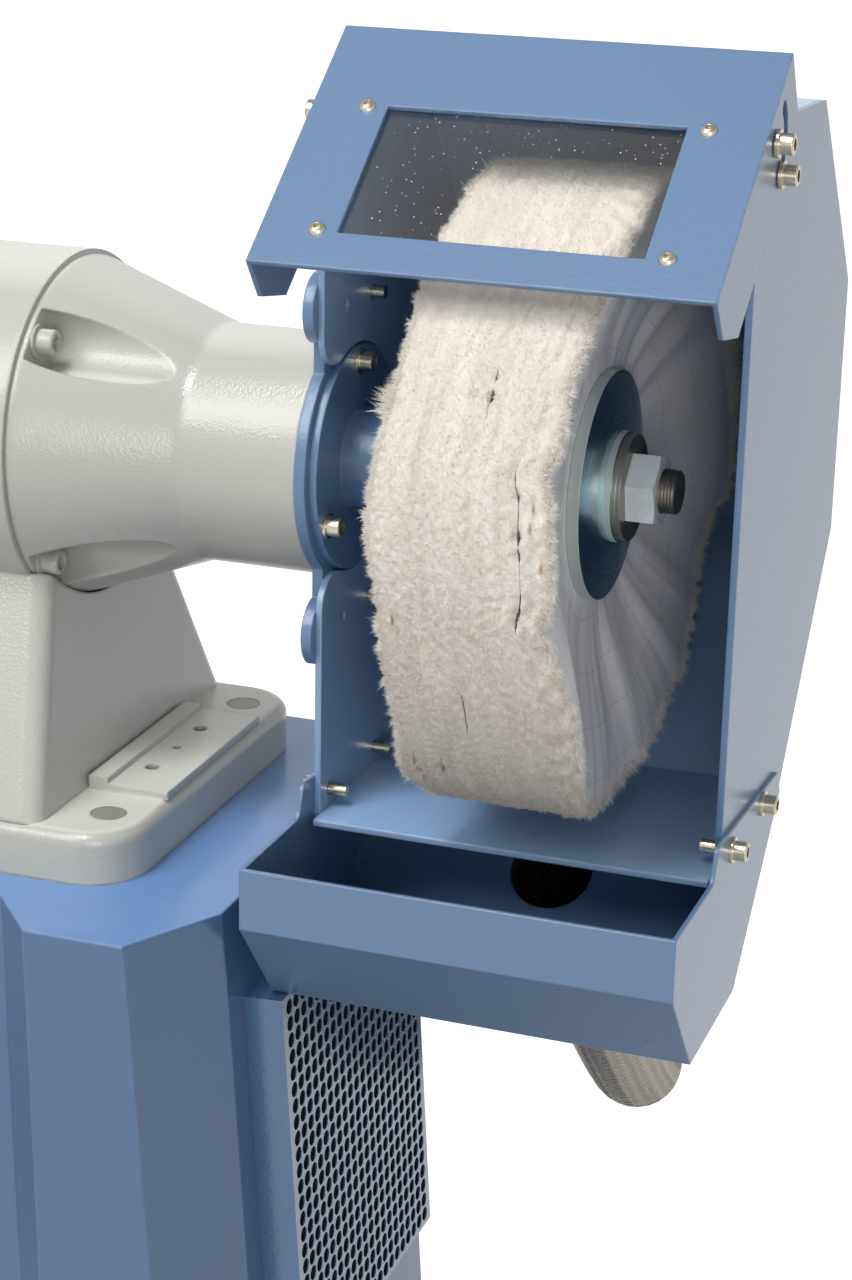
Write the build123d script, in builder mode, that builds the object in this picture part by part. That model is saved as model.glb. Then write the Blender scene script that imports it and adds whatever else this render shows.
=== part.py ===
from build123d import *

import os
from math import cos, radians, sin, tan

# Double-ended polishing machine on a pedestal, with dust hoods, visors, trays and extraction.
# The origin is on the floor under the middle of the spindle. X runs along the spindle to the right,
# Y from the operator to the back, Z up. All sizes are in millimetres. Heights and depths of the
# hoods, visors and trays are given from the spindle's axis. Right-hand pieces are mirrored to the left.

# Spindle and motor
spindle_height = 1000.0
shell_half_length = 91.4
shell_r = 83.3
shell_bore_r = 66.0
bell_length = 129.6
bell_step = 2.3
bell_rim_length = 2.0
bell_cone_length = 70.6
bell_bore_r = 52.0
bell_bore_depth = 58.0
snout_r = 55.5
snout_hole_r = 24.0
bell_crown_r = 6.0
bell_neck_r = 12.0
pocket_r = 15.0
pocket_floor = 3.0
bell_screw_circle_r = 73.0
core_half_length = 50.0
core_gap = 0.1
winding_length = 25.0
winding_inner_r = 49.0
winding_outer_r = 64.0
rotor_r = 44.5
air_gap = 0.5
bearing_r = 36.0
bearing_width = 19.0
bearing_setback = 16.0
bearing_shield = 1.2
bearing_outer_race = 4.7
bearing_inner_race = 4.5
shaft_core_r = 20.0
shaft_seat_r = 15.0
shaft_neck_r = 12.5
running_gap = 0.02

# Foot and column of the motor housing
foot_length = 320.0
foot_width = 217.0
foot_thickness = 25.0
foot_drop = 185.7
foot_corner_r = 28.0
foot_edge_r = 6.0
foot_bolt_spacing_x = 278.0
foot_bolt_spacing_y = 158.0
column_foot_length = 232.0
column_foot_width = 212.0
column_neck_length = 194.0
column_neck_width = 97.8
column_neck_drop = 30.0
column_corner_r = 10.0
column_wall = 14.0
column_cavity_height = 85.0
bell_clearance = 1.0
pad_length = 110.0
pad_width = 41.0
pad_height = 4.0
pad_station = 137.5
pad_rib_width = 10.0
pad_rib_height = 2.5
pad_hole_spacing = 56.0
pad_hole_r = 3.4
pad_hole_depth = 18.0
pad_pin_r = 2.0

# Fasteners, by thread diameter
foot_thread = 16.0
bell_thread = 8.0
sheet_thread = 6.0
panel_thread = 5.0
window_thread = 4.0
washer_thickness = 1.6
thread_engagement = 1.5
tapped_depth = 2.0
screw_gap = 0.05
hole_clearance = 0.3

# Hood
bracket_thickness = 5.0
bracket_disc_r = 56.0
bracket_waist = 66.0
bracket_ear_length = 94.0
bracket_ear_height = 32.0
bracket_ear_z = 75.0
bracket_bolt_y = 20.0
bracket_bolt_z = 73.0
spare_hole_y = -14.0
spare_hole_r = 2.5
hood_wall = 3.0
hood_width = 193.3
hood_front = -41.1
hood_front_top = 158.5
hood_crest_y = -28.0
hood_crest_z = 168.3
hood_shoulder_y = 83.4
hood_shoulder_z = 164.0
hood_back = 165.0
hood_back_top = 68.0
hood_back_bottom = -57.0
hood_heel_y = 76.0
hood_floor_z = -164.0
hood_lip = 9.0
wall_cutout_r = 53.0
wall_cutout_corner_r = 16.0
guard_disc_r = 51.8
guard_disc_thickness = 4.0
guard_screw_circle_r = 45.0
guard_sleeve_r = 23.0
guard_sleeve_wall = 3.0
guard_sleeve_length = 28.0

# Visor
visor_slope = 36.7
visor_front_y = -115.7
visor_front_z = 111.0
visor_length = 139.5
visor_sheet = 2.0
visor_gap = 0.5
visor_flange_depth = 41.0
visor_nose_depth = 21.6
visor_nose_length = 18.6
visor_tail_setback = 3.5
pivot_along = 100.3
pivot_depth = 13.0
clamp_radius = 18.0
slot_sweep = 98.0
slot_clearance = 0.4
pivot_clearance = 0.08
window_width = 130.5
window_height = 73.3
window_front = 19.5
window_screw_reach = 9.0
window_screw_inset = 1.0
pane_thickness = 2.0
pane_lap_x = 15.0
pane_lap_y = 7.0

# Tray
tray_sheet = 2.0
tray_front = -125.0
tray_lip_z = -156.5
tray_bend_z = -185.2
tray_floor_front = -87.0
tray_floor_back = -8.0
tray_floor_z = -232.0
tray_heel_y = 70.0
tray_heel_z = -162.0
cheek_top_front_y = -60.0
cheek_top_front_z = -157.5
cheek_step_y = -54.0
cheek_step_z = -142.0
cheek_top_back_y = 63.0
cheek_top_back_z = -150.0
cheek_step_r = 5.0
tray_screw_y = 29.5
tray_screw_z = -153.0
tray_screw_grip = 14.0

# Buff and flanges
inner_flange_station = 264.0
flange_r = 51.5
inner_flange_thickness = 6.0
buff_hub_width = 75.4
buff_rim_station = 284.0
buff_rim_width = 88.0
buff_r = 147.5
buff_sections = 6
buff_section_gap = 0.4
buff_rim_round = 6.0
buff_hub_margin = 2.0
buff_dish_r = 80.0
outer_flange_rim = 5.4
outer_flange_rise = 3.3
outer_flange_hub = 11.6
outer_flange_hub_r = 25.0
spindle_thread_r = 10.0
thread_pitch = 1.5
thread_depth = 0.9
thread_count = 6
washer_count = 2
spindle_washer_r = 24.0
spindle_washer_thickness = 2.1
nut_width = 30.0
nut_height = 13.4
nut_chamfer = 1.0
nut_turn = 44.0
thread_overhang = 7.6
bore_gap = 0.05

# Duct between tray and pedestal
duct_r = 25.0
duct_groove = 1.1
duct_bore_r = 23.0
duct_hole_r = 20.0
duct_hole_y = 25.0
duct_rib_pitch = 5.0
rib_rise = 0.25
rib_crest_end = 0.6
rib_fall_end = 0.85
duct_bend_share = 0.45
duct_elbow_run = 255.0
duct_turn_start_x = 316.0
duct_turn_start_y = 249.0
duct_turn_y = 338.0
duct_turn_outer_x = 246.0
duct_turn_inner_x = 138.0
collar_flange_r = 31.0
collar_flange = 2.0
collar_wall = 1.2
collar_gap = 0.3
collar_length = 24.0
duct_end_x = 62.0
duct_end_z = 593.0

# Pedestal
pedestal_half_width = 210.0
pedestal_slope = 0.067
recess_slope = 0.02
pedestal_front = -160.0
pedestal_back = 133.0
pedestal_side_front = -112.0
pedestal_side_back = 112.0
post_outer = 184.0
post_inner = 135.4
recess_half_width = 110.0
recess_y = -131.5
rear_half_width = 189.0
pedestal_wall = 3.0
pedestal_top_thickness = 8.0
cut_depth = 12.0
cut_start = 2.0
base_thickness = 12.0
base_margin = 32.0
anchor_inset = 17.0
anchor_hole_r = 7.0

# Exhaust cover on the pedestal's right side
cover_width = 176.0
cover_height = 205.8
cover_depth = 19.0
cover_sheet = 0.8
cover_centre_y = -7.0
cover_centre_z = 663.5
perforation_pitch = 8.4
perforation_r = 3.65
perforation_columns = 20
perforation_rows = 24
exhaust_window_inset = 22.0
mat_thickness = 10.0

# Extraction fan inside the pedestal
fan_x = 30.0
fan_z = 560.0
fan_r = 105.0
fan_width = 84.0
fan_sheet = 2.0
fan_inlet_r = 48.0
fan_outlet_height = 72.0
fan_foot_length = 120.0
fan_foot_height = 14.0
impeller_r = 82.0
impeller_width = 56.0
impeller_disc = 3.0
impeller_hub_r = 16.0
impeller_blades = 12
impeller_blade_thickness = 2.5
impeller_blade_depth = 34.0
impeller_blade_lean = 25.0
fan_shaft_r = 6.0
fan_shaft_reach = 26.0
fan_motor_r = 46.0
fan_motor_length = 68.0
shelf_thickness = 3.0
shelf_gap = 0.05

# Rear panel, switch box and cable gland
panel_width = 330.0
panel_height = 600.0
panel_sheet = 2.0
panel_bottom = 90.0
panel_lap = 22.0
panel_screw_inset = 10.0
switch_width = 74.0
switch_height = 132.0
switch_depth = 38.0
switch_z = 650.0
switch_corner_r = 8.0
button_spacing = 56.0
start_r = 14.0
stop_r = 18.0
button_stem_r = 9.0
button_stem_length = 16.0
button_travel = 3.0
button_cap = 7.0
button_gap = 0.3
bezel_r = 22.0
bezel_height = 3.0
gland_x = 180.0
gland_z = 55.0
gland_thread_r = 12.5
gland_hex = 30.0
gland_body = 9.0
gland_dome = 16.0
gland_taper = 14.0
gland_shoulder = 1.0
gland_bore_r = 5.0

# Stations along the spindle, from the machine's middle
snout_end = shell_half_length + bell_length
rim_end = shell_half_length + bell_rim_length
cone_end = rim_end + bell_cone_length
cavity_end = shell_half_length + bell_bore_depth
bell_r = shell_r - bell_step
wall_face = snout_end + bracket_thickness
hood_end = wall_face + hood_width
hood_middle = wall_face + hood_width / 2
pocket_seat = shell_half_length + pocket_floor
bearing_outer = snout_end - bearing_setback
bearing_inner = bearing_outer - bearing_width
buff_inner = inner_flange_station + inner_flange_thickness
buff_outer = buff_inner + buff_hub_width
flange_face = buff_outer + outer_flange_hub
nut_seat = flange_face + washer_count * spindle_washer_thickness
spindle_end = nut_seat + nut_height + thread_overhang

# Heights above the floor
pedestal_top = spindle_height - foot_drop
foot_top = pedestal_top + foot_thickness

turning_plane = Plane(origin=(0, 0, spindle_height), x_dir=(1, 0, 0), z_dir=(0, -1, 0))
spindle_axis = Axis((0, 0, spindle_height), (1, 0, 0))
thread_share = 0.5
head_share = 0.75
key_share = 0.42
key_depth_share = 0.55
edge_share = 0.1
button_head_share = 0.95
button_height_share = 0.55
button_key_share = 0.3
button_key_depth_share = 0.35
button_flat_share = 0.4
button_crown_shares = (0.75, 0.7)
hex_share = 0.8
hex_height_share = 0.65

os.makedirs("parts", exist_ok=True)


def side_plane(station):
    """Plane square to the spindle at a station, with local axes along Y and Z."""
    return Plane(origin=(station, 0, spindle_height), x_dir=(0, 1, 0), z_dir=(1, 0, 0))


def write(piece, name):
    """Label one finished piece and write its file."""
    piece.label = name
    export_step(piece, f"parts/{name}.step")


def write_pair(piece, name):
    """Write a right-hand piece and its mirror image at the left end."""
    write(piece, f"{name}_right")
    with BuildPart() as twin:
        mirror(piece, about=Plane.YZ)
    write(twin.part, f"{name}_left")


def cap_screw(thread, grip):
    """Socket cap screw and washer standing on the XY plane, with its shank below."""
    head_r = head_share * thread
    edge = edge_share * thread
    head_foot = washer_thickness + screw_gap
    with BuildPart() as screw:
        with BuildSketch(Plane.XY.offset(-grip)):
            Circle(thread_share * thread)
        extrude(amount=grip + head_foot)
        with BuildSketch(Plane.XY.offset(head_foot)):
            Circle(head_r)
        extrude(amount=thread - edge)
        with BuildSketch(Plane.XY.offset(head_foot + thread - edge)):
            Circle(head_r)
        extrude(amount=edge, taper=45)
        with BuildSketch(Plane.XY.offset(head_foot + thread)):
            RegularPolygon(key_share * thread, 6, major_radius=False)
        extrude(amount=-key_depth_share * thread, mode=Mode.SUBTRACT)
        with BuildSketch(Plane.XY):
            Circle(thread)
            Circle(thread_share * thread + screw_gap, mode=Mode.SUBTRACT)
        extrude(amount=washer_thickness)
    return screw.part


def button_screw(thread, grip):
    """Button-head socket screw standing on the XY plane, with its shank below."""
    head_r = button_head_share * thread
    head_height = button_height_share * thread
    flat_r = button_flat_share * head_r
    crown = (button_crown_shares[0] * head_r, button_crown_shares[1] * head_height)
    with BuildPart() as screw:
        with BuildSketch(Plane.XY.offset(-grip)):
            Circle(thread_share * thread)
        extrude(amount=grip)
        with BuildSketch(Plane.XZ):
            with BuildLine():
                Line((0, 0), (head_r, 0))
                ThreePointArc((head_r, 0), crown, (flat_r, head_height))
                Line((flat_r, head_height), (0, head_height))
                Line((0, head_height), (0, 0))
            make_face()
        revolve(axis=Axis.Z)
        with BuildSketch(Plane.XY.offset(head_height)):
            RegularPolygon(button_key_share * thread, 6, major_radius=False)
        extrude(amount=-button_key_depth_share * thread, mode=Mode.SUBTRACT)
    return screw.part


def hex_bolt(thread, grip):
    """Hexagon bolt whose head stands on the XY plane, with its shank below."""
    with BuildPart() as bolt:
        with BuildSketch(Plane.XY):
            RegularPolygon(hex_share * thread, 6, major_radius=False)
        extrude(amount=hex_height_share * thread)
        with BuildSketch(Plane.XY.offset(-grip)):
            Circle(thread_share * thread)
        extrude(amount=grip)
    return bolt.part


def hole_r(thread):
    """Radius of a plain hole for a thread."""
    return thread_share * thread + hole_clearance


# Motor housing: stator shell, column and foot cast in one
with BuildPart() as motor_housing:
    with BuildSketch(Plane.XY.offset(pedestal_top)):
        RectangleRounded(foot_length, foot_width, foot_corner_r)
    extrude(amount=foot_thickness)
    fillet(motor_housing.faces().sort_by(Axis.Z)[-1].edges(), radius=foot_edge_r)
    for end in (-1, 1):
        with BuildSketch(Plane.XY.offset(foot_top)):
            with Locations((end * pad_station, 0)):
                Rectangle(pad_width, pad_length)
        extrude(amount=pad_height)
        with BuildSketch(Plane.XY.offset(foot_top + pad_height)):
            with Locations((end * (pad_station - pad_width / 2 + pad_rib_width / 2), 0)):
                Rectangle(pad_rib_width, pad_length)
        extrude(amount=pad_rib_height)
    with BuildSketch(Plane.XY.offset(foot_top)):
        RectangleRounded(column_foot_length, column_foot_width, column_corner_r)
    with BuildSketch(Plane.XY.offset(spindle_height - column_neck_drop)):
        RectangleRounded(column_neck_length, column_neck_width, column_corner_r)
    loft()
    with BuildSketch(side_plane(-shell_half_length)):
        Circle(shell_r)
    extrude(amount=2 * shell_half_length)
    with BuildSketch(side_plane(-shell_half_length)):
        Circle(shell_bore_r)
    extrude(amount=2 * shell_half_length, mode=Mode.SUBTRACT)
    for end in (-1, 1):
        with BuildSketch(turning_plane):
            with BuildLine():
                Polyline(
                    (end * shell_half_length, 0),
                    (end * shell_half_length, bell_r + bell_clearance),
                    (end * rim_end, bell_r + bell_clearance),
                    (end * cone_end, snout_r + bell_clearance),
                    (end * cone_end, 0),
                    close=True,
                )
            make_face()
        revolve(axis=spindle_axis, mode=Mode.SUBTRACT)
        with BuildSketch(side_plane(end * shell_half_length)):
            with PolarLocations(bell_screw_circle_r, 4, start_angle=45):
                Circle(hole_r(bell_thread))
        extrude(amount=-end * tapped_depth * bell_thread, mode=Mode.SUBTRACT)
    with BuildSketch(Plane.XY.offset(pedestal_top)):
        RectangleRounded(
            column_foot_length - 2 * column_wall, column_foot_width - 2 * column_wall, column_corner_r
        )
    with BuildSketch(Plane.XY.offset(pedestal_top + column_cavity_height)):
        RectangleRounded(
            column_neck_length - 2 * column_wall, column_neck_width - 2 * column_wall, column_corner_r
        )
    loft(mode=Mode.SUBTRACT)
    with BuildSketch(Plane.XY.offset(pedestal_top)):
        with GridLocations(foot_bolt_spacing_x, foot_bolt_spacing_y, 2, 2):
            Circle(hole_r(foot_thread))
    extrude(amount=foot_thickness, mode=Mode.SUBTRACT)
    with BuildSketch(Plane.XY.offset(foot_top + pad_height)):
        with GridLocations(2 * pad_station, pad_hole_spacing, 2, 2):
            Circle(pad_hole_r)
        with GridLocations(2 * pad_station, 1, 2, 1):
            Circle(pad_pin_r)
    extrude(amount=-pad_hole_depth, mode=Mode.SUBTRACT)
write(motor_housing.part, "motor_housing")

# Foot bolts come up through the pedestal's top and end flush in the foot's corners
bolt_plane = Plane(origin=(0, 0, pedestal_top - pedestal_top_thickness), x_dir=(1, 0, 0), z_dir=(0, 0, -1))
with BuildPart() as foot_bolts:
    with Locations(bolt_plane):
        with GridLocations(foot_bolt_spacing_x, foot_bolt_spacing_y, 2, 2):
            add(hex_bolt(foot_thread, pedestal_top_thickness + foot_thickness - screw_gap))
write(foot_bolts.part, "foot_bolts")

# End bells close the shell and carry the bearings in their snouts
with BuildPart() as end_bell:
    with BuildSketch(turning_plane):
        with BuildLine():
            outside = FilletPolyline(
                (shell_half_length, bell_r),
                (rim_end, bell_r),
                (cone_end, snout_r),
                (snout_end, snout_r),
                radius=[bell_crown_r, bell_neck_r],
            )
            Polyline(
                outside @ 1,
                (snout_end, snout_hole_r),
                (bearing_outer, snout_hole_r),
                (bearing_outer, bearing_r),
                (bearing_inner, bearing_r),
                (cavity_end, bell_bore_r),
                (shell_half_length, bell_bore_r),
                outside @ 0,
            )
        make_face()
    revolve(axis=spindle_axis)
    with BuildSketch(side_plane(pocket_seat)):
        with PolarLocations(bell_screw_circle_r, 4, start_angle=45):
            Circle(pocket_r)
    extrude(amount=bell_length, mode=Mode.SUBTRACT)
    with BuildSketch(side_plane(shell_half_length)):
        with PolarLocations(bell_screw_circle_r, 4, start_angle=45):
            Circle(hole_r(bell_thread))
    extrude(amount=pocket_floor, mode=Mode.SUBTRACT)
    with BuildSketch(side_plane(snout_end)):
        with PolarLocations(guard_screw_circle_r, 3, start_angle=90):
            Circle(hole_r(sheet_thread))
    extrude(amount=-tapped_depth * sheet_thread, mode=Mode.SUBTRACT)
write_pair(end_bell.part, "end_bell")

with BuildPart() as bell_screws:
    with Locations(side_plane(pocket_seat)):
        with PolarLocations(bell_screw_circle_r, 4, start_angle=45):
            add(cap_screw(bell_thread, pocket_floor + thread_engagement * bell_thread))
    mirror(about=Plane.YZ)
write(bell_screws.part, "bell_screws")

# Stator core, its windings, the rotor and the bearings, closed up in the motor
with BuildPart() as stator_core:
    with BuildSketch(side_plane(-core_half_length)):
        Circle(shell_bore_r - core_gap)
        Circle(rotor_r + air_gap, mode=Mode.SUBTRACT)
    extrude(amount=2 * core_half_length)
write(stator_core.part, "stator_core")

with BuildPart() as stator_windings:
    with BuildSketch(side_plane(core_half_length)):
        Circle(winding_outer_r)
        Circle(winding_inner_r, mode=Mode.SUBTRACT)
    extrude(amount=winding_length)
    fillet(stator_windings.faces().sort_by(Axis.X)[-1].edges(), radius=winding_length / 4)
    mirror(about=Plane.YZ)
write(stator_windings.part, "stator_windings")

with BuildPart() as rotor:
    with BuildSketch(side_plane(-core_half_length)):
        Circle(rotor_r)
        Circle(shaft_core_r, mode=Mode.SUBTRACT)
    extrude(amount=2 * core_half_length)
write(rotor.part, "rotor")

with BuildPart() as bearings:
    with BuildSketch(side_plane(bearing_inner)):
        Circle(bearing_r - core_gap)
        Circle(shaft_seat_r + running_gap, mode=Mode.SUBTRACT)
    extrude(amount=bearing_width)
    for face_station, inward in ((bearing_inner, 1), (bearing_outer, -1)):
        with BuildSketch(side_plane(face_station)):
            Circle(bearing_r - bearing_outer_race)
            Circle(shaft_seat_r + bearing_inner_race, mode=Mode.SUBTRACT)
        extrude(amount=inward * bearing_shield, mode=Mode.SUBTRACT)
    mirror(about=Plane.YZ)
write(bearings.part, "bearings")

# Spindle shaft with a thread at each end
with BuildPart() as spindle_shaft:
    with BuildSketch(turning_plane):
        with BuildLine():
            Polyline(
                (0, 0),
                (0, shaft_core_r),
                (bearing_inner, shaft_core_r),
                (bearing_inner, shaft_seat_r),
                (snout_end, shaft_seat_r),
                (snout_end, shaft_neck_r),
                (inner_flange_station, shaft_neck_r),
                (inner_flange_station, spindle_thread_r),
                (spindle_end - thread_depth, spindle_thread_r),
                (spindle_end, spindle_thread_r - thread_depth),
                (spindle_end, 0),
                close=True,
            )
        make_face()
    revolve(axis=spindle_axis)
    for turn in range(thread_count):
        crest = spindle_end - thread_depth - turn * thread_pitch
        with BuildSketch(turning_plane):
            with BuildLine():
                Polyline(
                    (crest - thread_pitch, spindle_thread_r + bore_gap),
                    (crest - thread_pitch / 2, spindle_thread_r - thread_depth),
                    (crest, spindle_thread_r + bore_gap),
                    close=True,
                )
            make_face()
        revolve(axis=spindle_axis, mode=Mode.SUBTRACT)
    mirror(about=Plane.YZ)
write(spindle_shaft.part, "spindle_shaft")

# Brackets that hang the hoods on the end bells
with BuildPart() as hood_bracket:
    with BuildSketch(side_plane(snout_end)):
        Circle(bracket_disc_r)
        Rectangle(bracket_waist, 2 * bracket_ear_z)
        with Locations((0, bracket_ear_z), (0, -bracket_ear_z)):
            SlotOverall(bracket_ear_length, bracket_ear_height)
        Circle(snout_hole_r, mode=Mode.SUBTRACT)
        with PolarLocations(guard_screw_circle_r, 3, start_angle=90):
            Circle(hole_r(sheet_thread), mode=Mode.SUBTRACT)
        with Locations((bracket_bolt_y, bracket_bolt_z), (bracket_bolt_y, -bracket_bolt_z)):
            Circle(hole_r(sheet_thread), mode=Mode.SUBTRACT)
    extrude(amount=bracket_thickness)
write_pair(hood_bracket.part, "hood_bracket")

with BuildPart() as bracket_bolts:
    with Locations(Plane(origin=(snout_end, 0, spindle_height), x_dir=(0, -1, 0), z_dir=(-1, 0, 0))):
        with Locations((-bracket_bolt_y, bracket_bolt_z), (-bracket_bolt_y, -bracket_bolt_z)):
            add(hex_bolt(sheet_thread, bracket_thickness + hood_wall + sheet_thread))
    mirror(about=Plane.YZ)
write(bracket_bolts.part, "bracket_bolts")

# Shaft guards: a disc screwed to the snout through the bracket, and a sleeve round the shaft
with BuildPart() as shaft_guard:
    with BuildSketch(side_plane(wall_face)):
        Circle(guard_disc_r)
        with PolarLocations(guard_screw_circle_r, 3, start_angle=90):
            Circle(hole_r(sheet_thread), mode=Mode.SUBTRACT)
    extrude(amount=guard_disc_thickness)
    with BuildSketch(side_plane(wall_face + guard_disc_thickness)):
        Circle(guard_sleeve_r)
    extrude(amount=guard_sleeve_length)
    with BuildSketch(side_plane(wall_face)):
        Circle(guard_sleeve_r - guard_sleeve_wall)
    extrude(amount=guard_disc_thickness + guard_sleeve_length, mode=Mode.SUBTRACT)
write_pair(shaft_guard.part, "shaft_guard")

guard_grip = guard_disc_thickness + bracket_thickness + thread_engagement * sheet_thread
with BuildPart() as guard_screws:
    with Locations(side_plane(wall_face + guard_disc_thickness)):
        with PolarLocations(guard_screw_circle_r, 3, start_angle=90):
            add(cap_screw(sheet_thread, guard_grip))
    mirror(about=Plane.YZ)
write(guard_screws.part, "guard_screws")

# Hood walls: an inner one open round the guard disc, and a plain outer one
wall_outline = [
    (hood_front, hood_floor_z),
    (hood_front, hood_front_top),
    (hood_crest_y, hood_crest_z),
    (hood_shoulder_y, hood_shoulder_z),
    (hood_back, hood_back_top),
    (hood_back, hood_back_bottom),
    (hood_heel_y, hood_floor_z),
]
slope_along = Vector(0, cos(radians(visor_slope)), sin(radians(visor_slope)))
slope_normal = Vector(0, -sin(radians(visor_slope)), cos(radians(visor_slope)))
visor_corner = Vector(0, visor_front_y, spindle_height + visor_front_z)
pivot_point = visor_corner + slope_along * pivot_along - slope_normal * pivot_depth
clamp_point = pivot_point - slope_normal * clamp_radius
visor_screw_points = [(point.Y, point.Z - spindle_height) for point in (pivot_point, clamp_point)]
tray_screw_points = [(tray_screw_y, tray_screw_z), (-tray_screw_y, tray_screw_z)]

with BuildPart() as hood_inner_wall:
    with BuildSketch(side_plane(wall_face)) as inner_wall_sketch:
        Polygon(wall_outline, align=None)
        Circle(wall_cutout_r, mode=Mode.SUBTRACT)
        lips = inner_wall_sketch.vertices().filter_by(
            lambda v: abs(v.X - hood_front) < 1 and abs(v.Y) < wall_cutout_r
        )
        fillet(lips, radius=wall_cutout_corner_r)
        with Locations(*visor_screw_points, *tray_screw_points):
            Circle(hole_r(sheet_thread), mode=Mode.SUBTRACT)
        with Locations((bracket_bolt_y, bracket_bolt_z), (bracket_bolt_y, -bracket_bolt_z)):
            Circle(hole_r(sheet_thread), mode=Mode.SUBTRACT)
        with Locations((spare_hole_y, bracket_bolt_z), (spare_hole_y, -bracket_bolt_z)):
            Circle(spare_hole_r, mode=Mode.SUBTRACT)
    extrude(amount=hood_wall)
write_pair(hood_inner_wall.part, "hood_inner_wall")

with BuildPart() as hood_outer_wall:
    with BuildSketch(side_plane(hood_end - hood_wall)):
        Polygon(wall_outline, align=None)
        with Locations(*visor_screw_points, *tray_screw_points):
            Circle(hole_r(sheet_thread), mode=Mode.SUBTRACT)
    extrude(amount=hood_wall)
write_pair(hood_outer_wall.part, "hood_outer_wall")

# Folded sheet between the walls: top, slopes, back and floor with its front lip
with BuildPart() as hood_wrapper:
    with BuildSketch(side_plane(wall_face + hood_wall)):
        with BuildLine() as fold:
            Polyline(
                (hood_crest_y, hood_crest_z),
                (hood_shoulder_y, hood_shoulder_z),
                (hood_back, hood_back_top),
                (hood_back, hood_back_bottom),
                (hood_heel_y, hood_floor_z),
                (hood_front - hood_lip, hood_floor_z),
            )
            offset(amount=hood_wall, side=Side.RIGHT, kind=Kind.INTERSECTION)
        make_face()
    extrude(amount=hood_width - 2 * hood_wall)
write_pair(hood_wrapper.part, "hood_wrapper")

# Visor: folded sheet with a window, flanges outside the walls, a pivot hole and an arc slot in each
visor_width = hood_width + 2 * (visor_gap + visor_sheet)
slot_line = CenterArc((0, 0), clamp_radius, -90, slot_sweep)
panel_plane = Plane(
    origin=(hood_middle, visor_corner.Y, visor_corner.Z), x_dir=(1, 0, 0), z_dir=tuple(slope_normal)
)
window_middle = window_front + window_height / 2
with BuildPart() as visor:
    with BuildSketch(panel_plane):
        with Locations((0, visor_length / 2)):
            Rectangle(visor_width, visor_length)
        with Locations((0, window_middle)):
            Rectangle(window_width, window_height, mode=Mode.SUBTRACT)
            with GridLocations(
                window_width + 2 * window_screw_reach, window_height - 2 * window_screw_inset, 2, 2
            ):
                Circle(hole_r(window_thread), mode=Mode.SUBTRACT)
    extrude(amount=-visor_sheet)
    for station in (wall_face - visor_gap - visor_sheet, hood_end + visor_gap):
        flange_plane = Plane(
            origin=(station, visor_corner.Y, visor_corner.Z), x_dir=tuple(slope_along), z_dir=(1, 0, 0)
        )
        with BuildSketch(flange_plane):
            Polygon(
                (0, 0),
                (0, -visor_nose_depth),
                (visor_nose_length, -visor_flange_depth),
                (visor_length - visor_tail_setback, -visor_flange_depth),
                (visor_length, 0),
                align=None,
            )
            with Locations((pivot_along, -pivot_depth)):
                Circle(thread_share * sheet_thread + pivot_clearance, mode=Mode.SUBTRACT)
                SlotArc(slot_line, height=sheet_thread + 2 * slot_clearance, mode=Mode.SUBTRACT)
        extrude(amount=visor_sheet)
write_pair(visor.part, "visor")

with BuildPart() as visor_window:
    with BuildSketch(panel_plane.offset(-visor_sheet)):
        with Locations((0, window_middle)):
            Rectangle(window_width + 2 * pane_lap_x, window_height + 2 * pane_lap_y)
            with GridLocations(
                window_width + 2 * window_screw_reach, window_height - 2 * window_screw_inset, 2, 2
            ):
                Circle(hole_r(window_thread), mode=Mode.SUBTRACT)
    extrude(amount=-pane_thickness)
write_pair(visor_window.part, "visor_window")

with BuildPart() as window_screws:
    with Locations(panel_plane):
        with Locations((0, window_middle)):
            with GridLocations(
                window_width + 2 * window_screw_reach, window_height - 2 * window_screw_inset, 2, 2
            ):
                add(button_screw(window_thread, visor_sheet + pane_thickness + 0.4 * window_thread))
write_pair(window_screws.part, "window_screws")

# Pivot and clamp screws of the visors, held in the hood walls
visor_grip = visor_sheet + 2 * visor_gap + hood_wall + sheet_thread
outer_seat = side_plane(hood_end + visor_sheet + 2 * visor_gap)
inner_seat = Plane(
    origin=(wall_face - visor_sheet - 2 * visor_gap, 0, spindle_height), x_dir=(0, -1, 0), z_dir=(-1, 0, 0)
)
with BuildPart() as visor_screws:
    with Locations(outer_seat):
        with Locations(*visor_screw_points):
            add(cap_screw(sheet_thread, visor_grip))
    with Locations(inner_seat):
        with Locations(*[(-y, z) for y, z in visor_screw_points]):
            add(cap_screw(sheet_thread, visor_grip))
    mirror(about=Plane.YZ)
write(visor_screws.part, "visor_screws")

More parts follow.
